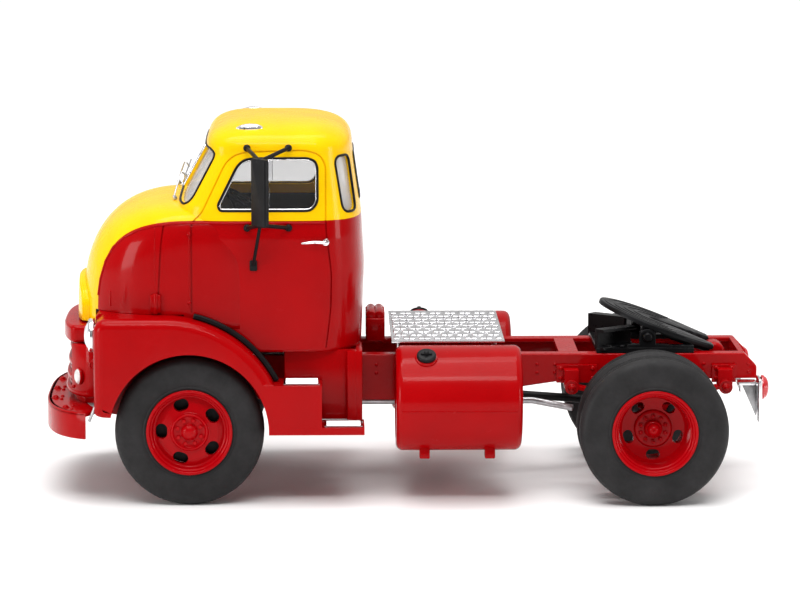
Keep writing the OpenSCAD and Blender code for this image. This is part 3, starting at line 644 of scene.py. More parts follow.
# ---------- the cab's surfaces ----------
CABIN_MID_X = 22.0
GUTTER_Z = 57.5
CAB_FOOT_Z = 25.0
NOSE_X = 36.0
NOSE_L = 18.3
NOSE_ROOT_X = 22.0
NOSE_SPRING_Z = 30.0
NOSE_TOP_Z = 49.5
NOSE_FOOT_Z = 28.8
NOSE_TUCK = 0.012                          # keeps the nose's sides just inside the cabin's
CAB_WALL = 1.1
PANE_OUT, PANE_IN = 0.5, 0.8               # the panes' two faces, inside the cab's outer surface
PAST_Y = 30                                # clear of the cab's sides
CABIN_FRONT_POWER, CABIN_REAR_POWER, ROOF_POWER = 5.5, 4, 2.8
NOSE_LENGTH_POWER, NOSE_ROOT_POWER, NOSE_TIP_POWER = 2.65, 10, 2.6
NOSE_SHOULDER = 0.07                       # how far the nose's top falls towards its sides
AROUND, UPWARD, OVER = 216, 62, 30         # the cabin grid's steps round, up the walls and over the roof
ARCH, FORWARD = 132, 72                    # the nose grid's steps across and forward


def eased(a, b, t):
    return a + (b - a) * max(0.0, min(1.0, t))


# Each taper lists (height, value), with straight lines between.
HALF_WIDTHS = [(44, CAB_HALF_W), (48, CAB_HALF_W - 0.7), (GUTTER_Z, CAB_HALF_W - 2.2)]
REAR_XS = [(CAB_FOOT_Z, 7.5), (38, 7), (BELT_Z, 7.5), (GUTTER_Z, 9)]
FRONT_XS = [(48.8, 38.2), (GUTTER_Z, 33.4)]


def tapered(table, z):
    """A taper's value at a height, level beyond its ends."""
    for (z0, a), (z1, b) in zip(table, table[1:]):
        if z < z1:
            break
    return eased(a, b, (z - z0) / (z1 - z0))


def squared_circle(angle, power):
    """A unit circle's cosine and sine, pushed out to the squarer curve of that power."""
    c, s = math.cos(angle), math.sin(angle)
    r = (abs(c) ** power + abs(s) ** power) ** (-1 / power)
    return r * c, r * s


def cabin_point(i, j, inset, foot):
    """Where the cabin grid's step i round and step j up lies; above the gutter the steps close in."""
    turn = 2 * math.pi * i / AROUND
    ahead = math.cos(turn) >= 0
    c, s = squared_circle(turn, CABIN_FRONT_POWER if ahead else CABIN_REAR_POWER)
    if j <= UPWARD:
        z = at = foot + (GUTTER_Z - foot) * j / UPWARD
        f = 1.0
    else:
        f, rise = squared_circle((j - UPWARD) / OVER * math.pi / 2, ROOF_POWER)
        z, at = GUTTER_Z + (ROOF_Z - GUTTER_Z - inset) * rise, GUTTER_Z
    half_l = tapered(FRONT_XS, at) - CABIN_MID_X if ahead else CABIN_MID_X - tapered(REAR_XS, at)
    return CABIN_MID_X + f * (half_l - inset) * c, f * (tapered(HALF_WIDTHS, at) - inset) * s, z


def nose_point(i, j, inset, foot):
    """Where the nose grid's step i across and step j forward lies; its outer steps drop to the foot."""
    if j == 0:
        x, k, u = NOSE_ROOT_X, 1.0, 0.0
    else:
        k, u = squared_circle((j - 1) / (FORWARD - 1) * math.pi / 2, NOSE_LENGTH_POWER)
        x = NOSE_X + (NOSE_L - inset) * u
    w, h = (CAB_HALF_W - NOSE_TUCK - inset) * k, (NOSE_TOP_Z - NOSE_SPRING_Z - inset) * k
    if i in (0, ARCH):
        return x, w, foot
    if i == ARCH - 1:
        return x, -w, foot
    y, z = squared_circle(math.pi * (i - 1) / (ARCH - 3), eased(NOSE_ROOT_POWER, NOSE_TIP_POWER, u))
    return x, w * y, NOSE_SPRING_Z + h * z * (1 - NOSE_SHOULDER * y * y)


def grown_grid(columns, rows, place):
    """A grid laid over a shape by a rule, its seams and poles closed and its open ends filled."""
    bm = bmesh.new()
    bmesh.ops.create_grid(bm, x_segments=columns, y_segments=rows, size=0.5)
    for v in bm.verts:
        v.co = place(round((v.co.x + 0.5) * columns), round((v.co.y + 0.5) * rows))
    bmesh.ops.remove_doubles(bm, verts=bm.verts, dist=0.0005)
    bmesh.ops.holes_fill(bm, edges=[e for e in bm.edges if e.is_boundary], sides=0)
    bmesh.ops.recalc_face_normals(bm, faces=bm.faces)
    return bm


def cabin(inset=0.0, foot=CAB_FOOT_Z):
    return grown_grid(AROUND, UPWARD + OVER, lambda i, j: cabin_point(i, j, inset, foot))


def nose(inset=0.0, foot=NOSE_FOOT_Z):
    return grown_grid(ARCH, FORWARD, lambda i, j: nose_point(i, j, inset, foot))


def cab_solid(inset=0.0):
    """The whole cab's volume, pulled in by inset all round."""
    drop = 1.0 if inset else 0.0
    return combine(cabin(inset, CAB_FOOT_Z - drop), "UNION", nose(inset, NOSE_FOOT_Z - drop))


class Skin:
    """A smooth surface that can be aimed at, and asked for its true normal at a point."""

    def __init__(self, bm, facing=1):
        self.mesh = bmesh.new()
        add(self.mesh, bm)
        self.mesh.faces.ensure_lookup_table()
        self.mesh.normal_update()
        self.tree = BVHTree.FromBMesh(self.mesh)
        self.facing = facing

    def distance(self, point):
        hit = self.tree.find_nearest(point)
        return hit[3]

    def normal(self, point):
        where, _, index, _ = self.tree.find_nearest(point)
        verts = self.mesh.faces[index].verts
        weights = poly_3d_calc([v.co for v in verts], where)
        total = Vector((0, 0, 0))
        for v, weight in zip(verts, weights):
            total += v.normal * weight
        return total.normalized() * self.facing


def shade_from(mesh, skins, near=0.03):
    """Gives a cut mesh the smooth normals of the surfaces that it was cut from."""
    normals = [None] * len(mesh.loops)
    for polygon in mesh.polygons:
        own = polygon.normal.copy()
        facing = [skin for skin in skins if skin.distance(polygon.center) < near
                  and skin.normal(polygon.center).dot(own) > 0.8]
        best = min(facing, key=lambda skin: skin.distance(polygon.center)) if facing else None
        for k in polygon.loop_indices:
            normals[k] = best.normal(mesh.vertices[mesh.loops[k].vertex_index].co) if best else own
    mesh.shade_smooth()
    mesh.normals_split_custom_set([tuple(n) for n in normals])


def cut_piece(bm, skins, name, body, material, replaces=()):
    """A piece cut from smooth surfaces, still in millimetres, finished with their normals."""
    mesh = bpy.data.meshes.new(name)
    bm.to_mesh(mesh)
    bm.free()
    shade_from(mesh, skins)
    mesh.transform(Matrix.Scale(MM, 4))
    return placed(mesh, name, body, material, replaces)


YELLOW_LINE = [(35.4, BELT_Z), (38.6, 46.6), (41.6, 46.2), (44.4, 45.4), (46.8, 44.1), (48.7, 42.2),
               (50, 39.8), (50.9, 36.8), (51.3, 34), (51.4, 31.2)]
DOOR_GLASS = [(30.9, 48.3), (31.3, 49.2), (28.2, 55.4), (27.2, 56.5), (25.6, 56.9), (16.4, 56.9),
              (15.2, 56.4), (14.8, 55.4), (14.8, 49.6), (15.9, 48.3)]
SCREEN_GLASS = [(0.7, 50.1), (9, 49.9), (14, 49.3), (16.6, 49.1), (17.5, 49.5), (17.8, 50.4),
                (17.3, 57), (16.8, 57.8), (15.8, 58.2), (9, 58.7), (0.7, 58.8)]
REAR_GLASS = [(-8.2, 49), (8.2, 49), (8.2, 56.6), (-8.2, 56.6)]
REAR_ROUND = 1.4
CORNER_TURN = math.radians(61)
CORNER_AT = (10.45, 15.4)
CORNER_W = 4.6
CORNER_FOOT_Z, CORNER_TOP_Z = 47.8, 57.0
CORNER_ROUND = 1.6
CORNER_GLASS = [(-CORNER_W / 2, CORNER_FOOT_Z), (CORNER_W / 2, CORNER_FOOT_Z),
                (CORNER_W / 2, CORNER_TOP_Z), (-CORNER_W / 2, CORNER_TOP_Z)]
CORNER_PLACE = (Matrix.Translation((*CORNER_AT, 0)) @ Matrix.Rotation(math.pi + CORNER_TURN, 4, "Z")
                @ Matrix.Rotation(math.pi / 2, 4, "X"))
DOOR_SEAM = [(13.5, 25.6), (12.7, 32), (12.6, 38), (13.5, 45.4), (13.5, 55.8), (14.6, 57.5), (17.0, 58.2),
             (26.8, 57.9), (28.6, 57.3), (30.0, 56.0), (34.0, 47.7), (35.6, 46.4), (35.6, 31.6)]
COWL_SEAM = [(40.1, 46.3), (40.6, 43), (40.9, 38), (41.1, 34.2), (41.4, 31.5)]


def yellow_region():
    """The solid that holds everything painted yellow."""
    return prism([(0, BELT_Z)] + soften(YELLOW_LINE, 1.2, 3, closed=False)
                 + [(51.4, 26), (60, 26), (60, 66), (0, 66)], "y", -PAST_Y, PAST_Y)


# ---------- the solids that open the windows, which also bound their panes ----------
def door_opening(start, end):
    return prism(soften(DOOR_GLASS, 0.5, 3), "y", start, end)


def screen_openings():
    half = soften(SCREEN_GLASS, 0.4, 3)
    return [prism(outline, "x", 28, 42) for outline in (half, [(-a, b) for a, b in reversed(half)])]


def rear_opening():
    return prism(soften(REAR_GLASS, REAR_ROUND, 5), "x", 0, 13)


def corner_openings():
    corner = prism(soften(CORNER_GLASS, CORNER_ROUND, 6), "z", -3, 5)
    corner.transform(CORNER_PLACE)
    return [mirrored(corner), corner]


def windows():
    return [door_opening(-PAST_Y, PAST_Y), *screen_openings(), rear_opening(), *corner_openings()]


def seam_cutters():
    """Thin curtains along the panel lines, only as deep as the seams are."""
    width = sizes().seam_width / MM
    lines = [soften(DOOR_SEAM, 1.2, 5, closed=False), soften(COWL_SEAM, 0.8, 3, closed=False)]
    curtains = [prism(ribbon(line, width), "y", -PAST_Y, PAST_Y) for line in lines]
    core = cab_solid(sizes().seam_depth / MM)
    return [combine(curtain, "DIFFERENCE", core.copy()) for curtain in curtains]


class Cab:
    """The cab's surfaces, made once and shared by the pieces that lie on them."""
    skins = []

    @classmethod
    def outer(cls):
        if not cls.skins:
            cls.skins = [Skin(cabin()), Skin(nose())]
        return cls.skins


def laid(origins, direction):
    """Where each line of sight first meets the cab's outer surfaces; one that misses is left out."""
    found = []
    for origin in origins:
        hits = [skin.tree.ray_cast(Vector(origin), Vector(direction)) for skin in Cab.outer()]
        hits = [(distance, where) for where, _, _, distance in hits if where is not None]
        if hits:
            found.append(min(hits, key=lambda hit: hit[0])[1])
    return found


def on_side(points):
    """A side-view line of (x, z) points, laid on the cab's near side."""
    return laid([(x, PAST_Y, z) for x, z in points], (0, -1, 0))


def on_front(points):
    return laid([(70, y, z) for y, z in points], (-1, 0, 0))


def on_rear(points):
    return laid([(-20, y, z) for y, z in points], (1, 0, 0))


def on_corner(points):
    """A line on a rear corner, given in the corner pane's own plane."""
    out = CORNER_PLACE.to_3x3() @ Vector((0, 0, 1))
    if out.x > 0:
        out = -out
    return laid([CORNER_PLACE @ Vector((a, b, 0)) + out * 20 for a, b in points], -out)


def pushed(points, amount):
    """The same points moved out of the cab's surface by amount."""
    moved = []
    for point in points:
        skin = min(Cab.outer(), key=lambda s: s.distance(point))
        moved.append(point + skin.normal(point) * amount)
    return moved


# ---------- cab ----------
class TRACTOR_OT_cab(bpy.types.Operator):
    """Builds the hollow cab, cut open at its windows and split where its two colours meet"""
    bl_idname = "tractor.cab"
    bl_label = "Cab"

    def execute(self, context):
        fender_room = block((36.9, -PAST_Y, 20), (FENDER_FRONT_X + 0.2, PAST_Y, FENDER_TOP_Z + 0.05), 0)
        outer = combine(cab_solid(), "DIFFERENCE", fender_room)
        shell = combine(outer, "DIFFERENCE", cab_solid(CAB_WALL), *windows(), *seam_cutters())
        lining = [Skin(cabin(CAB_WALL, CAB_FOOT_Z - 1), -1), Skin(nose(CAB_WALL, NOSE_FOOT_Z - 1), -1)]
        skins = Cab.outer() + lining
        roof = combine(shell.copy(), "INTERSECT", yellow_region())
        body = combine(shell, "DIFFERENCE", yellow_region())
        cut_piece(roof, skins, "cab_roof_and_hood", "chassis", "yellow_paint", ["cab_upper"])
        cut_piece(body, skins, "cab_body", "chassis", "red_paint", ["cab_lower"])
        foot, top = 13.4, CAB_FOOT_Z + 0.1
        walls = block((7.5, 11, foot), (8.6, CAB_HALF_W, top))
        add(walls, block((8.4, 18.4, foot), (20.4, 19.5, top)))
        add(walls, block((8.4, 19.3, foot), (10, CAB_HALF_W, top)))
        piece(both_sides(walls), "step_well_panels", "chassis", "red_paint")
        return {"FINISHED"}


BADGE_HALF_W, BADGE_SPRING, BADGE_RISE = 11, 2.6, 4.6


class TRACTOR_OT_cab_trim(bpy.types.Operator):
    """Builds the belt moulding, the window rubbers, the bright beads and the blank badge panel"""
    bl_idname = "tractor.cab_trim"
    bl_label = "Cab trim"

    def execute(self, context):
        belt_r = sizes().belt_radius / MM
        line = sampled([(13.6, BELT_Z - 0.35)] + [(x, z - 0.35) for x, z in YELLOW_LINE[:-1]], 0.4, False)
        belt = tube(pushed(on_side(line), -0.04), belt_r)
        piece(both_sides(belt), "belt_moulding", "chassis", "red_paint", angle=80)

        rubber_r = sizes().gasket_radius / MM
        rubber = bmesh.new()
        bright = bmesh.new()
        door = soften(DOOR_GLASS, 0.9, 5)
        add(rubber, tube(on_side(sampled(door, 0.35)), rubber_r, True))
        add(bright, tube(pushed(on_side(sampled(shrunk(door, 0.28), 0.35)), -0.06), 0.12, True))
        corner = soften(CORNER_GLASS, CORNER_ROUND, 7)
        add(rubber, tube(on_corner(sampled(corner, 0.35)), rubber_r * 1.15, True))
        both_sides(rubber)
        both_sides(bright)
        half = soften(SCREEN_GLASS, 0.7, 4)
        around = [p for p in half if p[0] > 1] + [(-a, b) for a, b in reversed(half) if a > 1]
        add(rubber, tube(on_front(sampled(around, 0.4)), rubber_r * 1.1, True))
        divider = on_front([(0, 50.0 + 0.55 * k) for k in range(17)])
        add(bright, tube(divider, 0.3))
        add(rubber, tube(on_rear(sampled(soften(REAR_GLASS, REAR_ROUND, 6), 0.4)), rubber_r * 1.1, True))
        piece(rubber, "window_rubbers", "chassis", "black_part", angle=80)
        for side in (1, -1):
            add(bright, rod((24.1, side * 20.0, 48.5), (22.9, side * 18.75, 56.8), 0.14))
        piece(bright, "window_beads", "chassis", "bright_trim", angle=80)
        posts = bmesh.new()
        for side in (1, -1):
            add(posts, rod((24.5, side * 19.9, 48.4), (23.3, side * 18.65, 56.9), 0.24))
        piece(posts, "quarter_light_posts", "chassis", "black_part", angle=80)

        layers = []
        faces = []
        for proud, inset in ((0.5, 0.0), (0.8, 0.25), (1.0, 0.6)):
            half_w, rise = BADGE_HALF_W - inset, BADGE_RISE - inset
            outline = [(-half_w, NOSE_FOOT_Z), (half_w, NOSE_FOOT_Z)]
            outline += [(half_w * math.cos(a), NOSE_FOOT_Z + BADGE_SPRING + rise * math.sin(a))
                        for a in (math.pi * k / 28 for k in range(29))]
            layers.append(combine(nose(-proud, NOSE_FOOT_Z - 0.3), "INTERSECT", prism(outline, "x", 48, 60)))
            faces.append(Skin(nose(-proud, NOSE_FOOT_Z - 0.3)))
        panel = combine(combine(layers[0], "UNION", *layers[1:]), "DIFFERENCE", nose(-0.02, NOSE_FOOT_Z - 1),
                        block((40, -20, 20), (FENDER_FRONT_X + 0.3, 20, 40), 0))
        cut_piece(panel, faces, "badge_panel_blank", "chassis", "yellow_paint",
                  ["badge_panel"])

        dots = bmesh.new()
        add(dots, rod((15.1, CAB_HALF_W - 0.1, 43.1), (15.1, CAB_HALF_W + 0.12, 43.1), 0.30))
        for z in (33.2, 44.6):
            add(dots, dome((36.0, CAB_HALF_W - 0.05, z), 0.32, 0.7, axis=(0, 1, 0)))
        add(dots, block((40.7, CAB_HALF_W - 0.2, 31.6), (42.4, CAB_HALF_W + 0.3, 34.6), 0.15))
        pin_y = CAB_HALF_W + 0.2
        add(dots, rod((41.55, pin_y, 31.4), (41.55, pin_y, 34.8), 0.36, segments=20, soft=0.08))
        add(dots, rod((49.0, 20.2, 32.6), (49.0, 20.6, 35.2), 0.16, segments=12, soft=0.04))
        for x, zs in ((35.95, (32.4, 46.0)), (41.65, (36.0, 45.6))):
            lip = [(x, z) for z in sampled_range(*zs, 0.5)]
            add(dots, tube(pushed(on_side(lip), -0.02), 0.09))
        piece(both_sides(dots), "hinge_pins", "chassis", "red_paint", angle=60)
        return {"FINISHED"}


class TRACTOR_OT_glazing(bpy.types.Operator):
    """Builds the clear panes, curved with the cab's walls"""
    bl_idname = "tractor.glazing"
    bl_label = "Glazing"

    def execute(self, context):
        def outside():
            return cabin(PANE_OUT, 46)

        def inside():
            return cabin(PANE_IN, 45)

        glass_skins = [Skin(outside()), Skin(inside(), -1)]
        for name, node, look, openings in (
                ("door_panes", "door_windows", "clear_glazing",
                 [door_opening(12, PAST_Y), door_opening(-PAST_Y, -12)]),
                ("screen_panes", "windscreen", "screen_glazing_painted_reflection", screen_openings()),
                ("corner_panes", "corner_windows", "screen_glazing_painted_reflection", corner_openings()),
                ("rear_pane", "rear_window", "screen_glazing_painted_reflection", [rear_opening()])):
            region = openings[0]
            for other in openings[1:]:
                region = combine(region, "UNION", other)
            pane = combine(combine(outside(), "DIFFERENCE", inside()), "INTERSECT", region)
            cut_piece(pane, glass_skins, name, "chassis", look, [node])
        return {"FINISHED"}


INSIDE_Z = 27.6                            # the top of the cab's floor
STEERING_AT, STEERING_TILT = (26.4, 9.5, 48.4), math.radians(-32)


class TRACTOR_OT_interior(bpy.types.Operator):
    """Builds what shows through the windows: the seat, the dash and the steering wheel"""
    bl_idname = "tractor.interior"
    bl_label = "Cab inside"

    def execute(self, context):
        floor = cad_copy("cab_floor")
        soft_edges(piece(floor, "cab_floor_pan", "chassis", "cab_trim", ["cab_floor"]))

        seat = bmesh.new()
        profile = [(10.7, INSIDE_Z), (22, INSIDE_Z), (22, 35), (21, 37), (14, 36.2), (13, 46), (12, 46.8),
                   (10.7, 46.5)]
        for start, end in ((-14.9, -5.1), (-4.9, 4.9), (5.1, 14.9)):
            section = prism(soften(profile, 0.9, 3), "y", start, end)
            round_edges(section, rim_edges(section, 1), 0.35, 3)
            add(seat, section)
        piece(seat, "bench_seat_cushions", "chassis", "cab_trim", ["bench_seat"])

        cards = block((14.2, 18.6, INSIDE_Z), (35.0, 19.0, BELT_Z), 0.12)
        add(cards, block((15.5, 18.2, 34), (26, 18.7, 35.4), 0.3, 3))
        add(cards, rod((24, 18.7, 40.5), (24, 18.1, 40.5), 0.7, 0.6, 24, 0.1))
        both_sides(cards)
        add(cards, block((9.7, -14.5, INSIDE_Z), (10.2, 14.5, BELT_Z), 0.12))
        piece(cards, "door_cards", "chassis", "cab_trim")

        face = [(29.5, INSIDE_Z), (34, INSIDE_Z), (34, 48), (31.5, 47.8), (29.5, 45)]
        dash = prism(soften(face, 0.6, 3), "y", -16.9, 16.9)
        for y in (6.2, 9.5, 12.8):
            add(dash, rod((29.6, y, 43.3), (29.25, y, 43.3), 1.15, 1.05, 28, 0.08))
        add(dash, block((29.2, -12, 40), (29.6, -3, 44), 0.15))
        soft_edges(piece(dash, "dashboard_shell", "chassis", "cab_trim", ["dashboard"]))

        wheel = turned(ring(4.3, 0.36, 12), 64)
        add(wheel, rod((0, 0, -0.5), (0, 0, 0.35), 0.95, 0.75, 28, 0.12))
        add(wheel, rod((0, 0, -4.8), (0, 0, -0.2), 0.45, segments=20))
        for k in range(3):
            arm = rod((0, 0, -0.1), (4.2, 0, 0), 0.26, 0.2, 12)
            add(wheel, arm, Matrix.Rotation(2 * math.pi * k / 3 + 0.5, 4, "Z"))
        wheel.transform(Matrix.Translation(STEERING_AT) @ Matrix.Rotation(STEERING_TILT, 4, "Y"))
        piece(wheel, "steering_wheel_rim", "chassis", "black_part", ["steering_wheel"])
        return {"FINISHED"}


# ---------- fenders and steps ----------
ARCH_R = 13.1
ARCH_FRONT_RISE = 2.7                      # the arch's front end, above the axle
CREST_R = 20.0
CREST_AT = (40.0, 11.2)
CREST_FRONT_R = 2.1
CREST_SOFT = 1.6                           # how far the fender's outer edge is rounded over
FENDER_FOOT_Z = 15.0
FENDER_INNER_Y = 18.4
STEP_TOP_Z = 20.2
STEP_BACK_X = 14.2
LOW_STEP_Z = 13.2
LOW_STEP_BACK_X = 7.2
STEP_BASE_Z = 12.0
TREAD_RIBS = 9


def fender_outline():
    """The fender's side view, from its nose over the crest and the steps and back along the arch."""
    top = FENDER_TOP_Z
    crest_end = 90 + math.degrees(math.acos((STEP_TOP_Z - CREST_AT[1]) / CREST_R))
    outline = arc((FENDER_FRONT_X - 0.8, FENDER_FOOT_Z + 0.8), 0.8, -90, 0, 4)
    outline += arc((FENDER_FRONT_X - CREST_FRONT_R, top - CREST_FRONT_R), CREST_FRONT_R, 0, 90, 8)
    outline += arc(CREST_AT, CREST_R, 90, crest_end, 26)
    outline += [(STEP_BACK_X, STEP_TOP_Z), (STEP_BACK_X, LOW_STEP_Z), (LOW_STEP_BACK_X, LOW_STEP_Z),
                (LOW_STEP_BACK_X, STEP_BASE_Z)]
    back_foot = math.degrees(math.asin((STEP_BASE_Z - AXLE_Z) / ARCH_R))
    front_foot = math.degrees(math.asin(ARCH_FRONT_RISE / ARCH_R))
    return outline + arc((FRONT_AXLE.x, AXLE_Z), ARCH_R, 180 - back_foot, front_foot, 60)


def fender():
    """One front fender with its steps."""
    solid = prism(fender_outline(), "y", FENDER_INNER_Y, FENDER_Y)
    solid = combine(solid, "DIFFERENCE", block((-1, 0, 13.35), (20.45, 19.55, 33), 0),
                    block((-1, 0, 13.3), (10.05, 21.05, 33), 0), block((-2, 0, 24.95), (36.9, 21.05, 45), 0))
    bmesh.ops.dissolve_limit(solid, angle_limit=math.radians(0.5), use_dissolve_boundaries=False,
                             verts=solid.verts, edges=solid.edges)

    def on_arch(v):
        return abs(math.hypot(v.co.x - FRONT_AXLE.x, v.co.z - AXLE_Z) - ARCH_R) < 0.02

    def outer_edge(e):
        return all(abs(v.co.y - FENDER_Y) < 1e-3 for v in e.verts)

    crest = [e for e in solid.edges if outer_edge(e) and not any(on_arch(v) for v in e.verts)
             and all(v.co.z > STEP_TOP_Z - 0.01 or v.co.x > 45 for v in e.verts)
             and not all(v.co.z < FENDER_FOOT_Z + 0.05 for v in e.verts)
             and not all(abs(v.co.z - STEP_TOP_Z) < 0.02 for v in e.verts)]
    round_edges(solid, crest, CREST_SOFT, 8, clamp=False)
    return solid


class TRACTOR_OT_fenders(bpy.types.Operator):
    """Builds the front fenders with their steps, treads and black strips"""
    bl_idname = "tractor.fenders"
    bl_label = "Fenders and steps"

    def execute(self, context):
        for side in SIDES:
            made = piece(on_the(side, fender()), f"fender_{side}", "chassis",
                         "red_paint", [f"front_fender_{side}"], angle=30)
            soft_edges(made, 0.00028, 3, 50)
        deck = block((37.2, 8, FENDER_TOP_Z - 1.2), (FENDER_FRONT_X - 0.4, 19, FENDER_TOP_Z - 0.02), 0.2)
        add(deck, block((FENDER_FRONT_X - 1.2, 13, 15.2),
                        (FENDER_FRONT_X - 0.05, 18.9, FENDER_TOP_Z - 0.3), 0.3))
        rim = arc((FRONT_AXLE.x, AXLE_Z), ARCH_R + 0.3, 9, 150, 40)
        rim += arc((FRONT_AXLE.x, AXLE_Z), ARCH_R - 2.4, 150, 9, 40)
        add(deck, prism(rim, "y", 18.5, 18.95))
        piece(both_sides(deck), "fender_aprons", "chassis", "red_paint")

        strip_line = arc(CREST_AT, CREST_R + 0.5, 90 + 13.2, 90 + 63.6, 30)
        strip = prism(ribbon(strip_line, 0.86), "y", 21.2, 22.5)
        soft_edges(piece(both_sides(strip), "crest_strips", "chassis", "black_part",
                         ["fender_strips"], angle=40), 0.00022, 3)

        treads = bmesh.new()
        for x0, x1, y0, y1, z in ((STEP_BACK_X + 0.3, STEP_BACK_X + 6.3, 20.2, 25.8, STEP_TOP_Z),
                                  (LOW_STEP_BACK_X + 0.3, STEP_BACK_X - 0.4, 21.2, 26.0, LOW_STEP_Z)):
            add(treads, block((x0, y0, z + 0.02), (x1, y1, z + 0.2), 0.06))
            pitch = (y1 - y0 - 0.6) / TREAD_RIBS
            for k in range(TREAD_RIBS):
                y = y0 + 0.3 + pitch * (k + 0.5)
                add(treads, block((x0 + 0.3, y - 0.16, z + 0.12), (x1 - 0.3, y + 0.16, z + 0.34), 0.08, 1))
        piece(both_sides(treads), "tread_plates", "chassis", "bright_trim", ["step_treads"])
        return {"FINISHED"}


# ---------- front end ----------
GRILLE_BACK_X = FENDER_FRONT_X + 0.1
GRILLE_FOOT_Z, GRILLE_TOP_Z = 16.6, 25.35
GRILLE_ROOT_X, GRILLE_BOW, GRILLE_HALF_W = 48, 9.3, 17.3
BAR_Z, BAR_R = 26.9, 1.5
BAR_PITCH = 2.3
PARK_Y, PARK_Z, PARK_TURN = 14.8, 20.0, math.radians(20)
HEADLAMP_Y, HEADLAMP_Z, HEADLAMP_R = 20.6, 27.8, 2.38
HOOK_Y, HOOK_Z = 21.8, 23.0
BAR_AHEAD = (0.1, -0.05, -0.3, -0.6)       # each bar's reach in front of the grille's face, lowest first


def grille_x(y, ahead=0.0):
    """The grille's face, bowed across its width."""
    return GRILLE_ROOT_X + ahead + GRILLE_BOW * (1 - min(1, abs(y) / GRILLE_HALF_W) ** 3) ** (1 / 3)


def grille_slice(ahead, half_w, z0, z1, radius, segments=3, steps=44):
    """A bar across the grille, bowed with its face and rounded along its front."""
    span = [-half_w + 2 * half_w * k / steps for k in range(steps + 1)]
    front = [(grille_x(y, ahead), y) for y in span]
    bm = prism([(GRILLE_BACK_X, -half_w)] + front + [(GRILLE_BACK_X, half_w)], "z", z0, z1)
    rims = [e for e in rim_edges(bm, 2) if not all(abs(v.co.x - GRILLE_BACK_X) < 1e-4 for v in e.verts)]
    ends = [e for e in bm.edges if abs(e.verts[0].co.z - e.verts[1].co.z) > 1e-3
            and all(abs(abs(v.co.y) - half_w) < 1e-4 and v.co.x > GRILLE_BACK_X + 0.1 for v in e.verts)]
    round_edges(bm, rims + ends, radius, segments)
    return bm


class TRACTOR_OT_grille(bpy.types.Operator):
    """Builds the grille, its heavy top bar and the front lamps"""
    bl_idname = "tractor.grille"
    bl_label = "Grille and lamps"

    def execute(self, context):
        grille = grille_slice(-1.1, 15, GRILLE_FOOT_Z, GRILLE_TOP_Z, 0.2)
        add(grille, grille_slice(-1.2, 14.5, BUMPER_TOP_Z - 0.05, GRILLE_FOOT_Z + 0.1, 0.15))
        for k in range(4):
            z = GRILLE_FOOT_Z + BAR_PITCH * k
            add(grille, grille_slice(BAR_AHEAD[k], 16.4, z, z + 1.2, 0.5, 5))
        for k in range(3):
            z = GRILLE_FOOT_Z + 1.75 + BAR_PITCH * k
            add(grille, grille_slice(BAR_AHEAD[k] - 0.55, 15.4, z - 0.2, z + 0.2, 0.12, 2))
        add(grille, grille_slice(0.3, 13.6, BAR_Z - BAR_R, BAR_Z + BAR_R, 1.35, 8))
        for side in (1, -1):
            cheek_front = [(grille_x(y, 0.02), y * side) for y in (12.6 + 4.0 * k / 12 for k in range(13))]
            outline = [(GRILLE_BACK_X, 12.6 * side)] + cheek_front + [(GRILLE_BACK_X, 16.6 * side)]
            cheek = prism(outline, "z", GRILLE_FOOT_Z + 0.1, GRILLE_TOP_Z)
            round_edges(cheek, rim_edges(cheek, 2), 0.3, 2)
            add(grille, cheek)
            add(grille, dome((grille_x(13.4, 0.1), 13.4 * side, 18.05), 0.3, axis=(1, 0, 0)))
            hook_at = Matrix.Translation((FENDER_FRONT_X + 0.35, HOOK_Y * side, HOOK_Z))
            add(grille, turned(ring(0.5, 0.16, 8), 24), hook_at @ ALONG_Y)
            add(grille, dome((FENDER_FRONT_X + 0.1, HOOK_Y * side, HOOK_Z + 0.7), 0.42, axis=(1, 0, 0)))
        piece(grille, "grille_bars", "chassis", "red_paint", ["grille"], angle=50)

        park = bmesh.new()
        rims = bmesh.new()
        for side in (1, -1):
            where = (Matrix.Translation((grille_x(PARK_Y) - 0.1, PARK_Y * side, PARK_Z))
                     @ Matrix.Rotation(PARK_TURN * side, 4, "Z") @ ALONG_X)
            add(park, turned([(0, 0), (1.25, 0)] + bulge(1.25, 0.25, 0.5, 6), 36, closed=False), where)
            rim = turned(soften([(1.2, -0.2), (1.45, -0.2), (1.45, 0.26), (1.2, 0.26)], 0.1, 2), 36)
            add(rims, rim, where)
        piece(park, "parking_lenses", "chassis", "lamp_white", ["parking_lamps"], angle=60)
        piece(rims, "parking_rims", "chassis", "red_paint", angle=50)

        bezels = bmesh.new()
        lenses = bmesh.new()
        reflectors = bmesh.new()
        for side in (1, -1):
            where = Matrix.Translation((FENDER_FRONT_X + 0.02, HEADLAMP_Y * side, HEADLAMP_Z)) @ ALONG_X
            section = soften([(2.35, 0), (2.9, 0), (2.9, 0.75), (2.62, 1.05), (2.35, 0.9)], 0.22, 3)
            add(bezels, turned(section, 64), where)
            add(reflectors, turned([(0, 0.12), (1.2, 0.2), (2.36, 0.5), (2.36, 0.02), (0, 0.02)], 48,
                                   closed=False), where)
            lens = [(0, 0.5), (HEADLAMP_R, 0.5)] + bulge(HEADLAMP_R, 0.62, 1.15, 9)
            add(lenses, turned(lens, 64, closed=False), where)
        piece(bezels, "headlamp_rims", "chassis", "bright_trim", ["headlamp_bezels"], angle=50)
        piece(reflectors, "headlamp_bowls", "chassis", "bright_trim")
        piece(lenses, "headlamp_domes", "chassis", "headlamp_glass", ["headlamp_lenses"],
              angle=60)
        return {"FINISHED"}


BUMPER_FOOT_Z, BUMPER_TOP_Z = 11.0, 15.5
BUMPER_ROOT_X, BUMPER_BOW, BUMPER_HALF_W = 46, 14.5, 25.5
BUMPER_END_Y = 24.5
BUMPER_CORNER_Y = 22.0
SHARP = 0.6                                # radians between faces


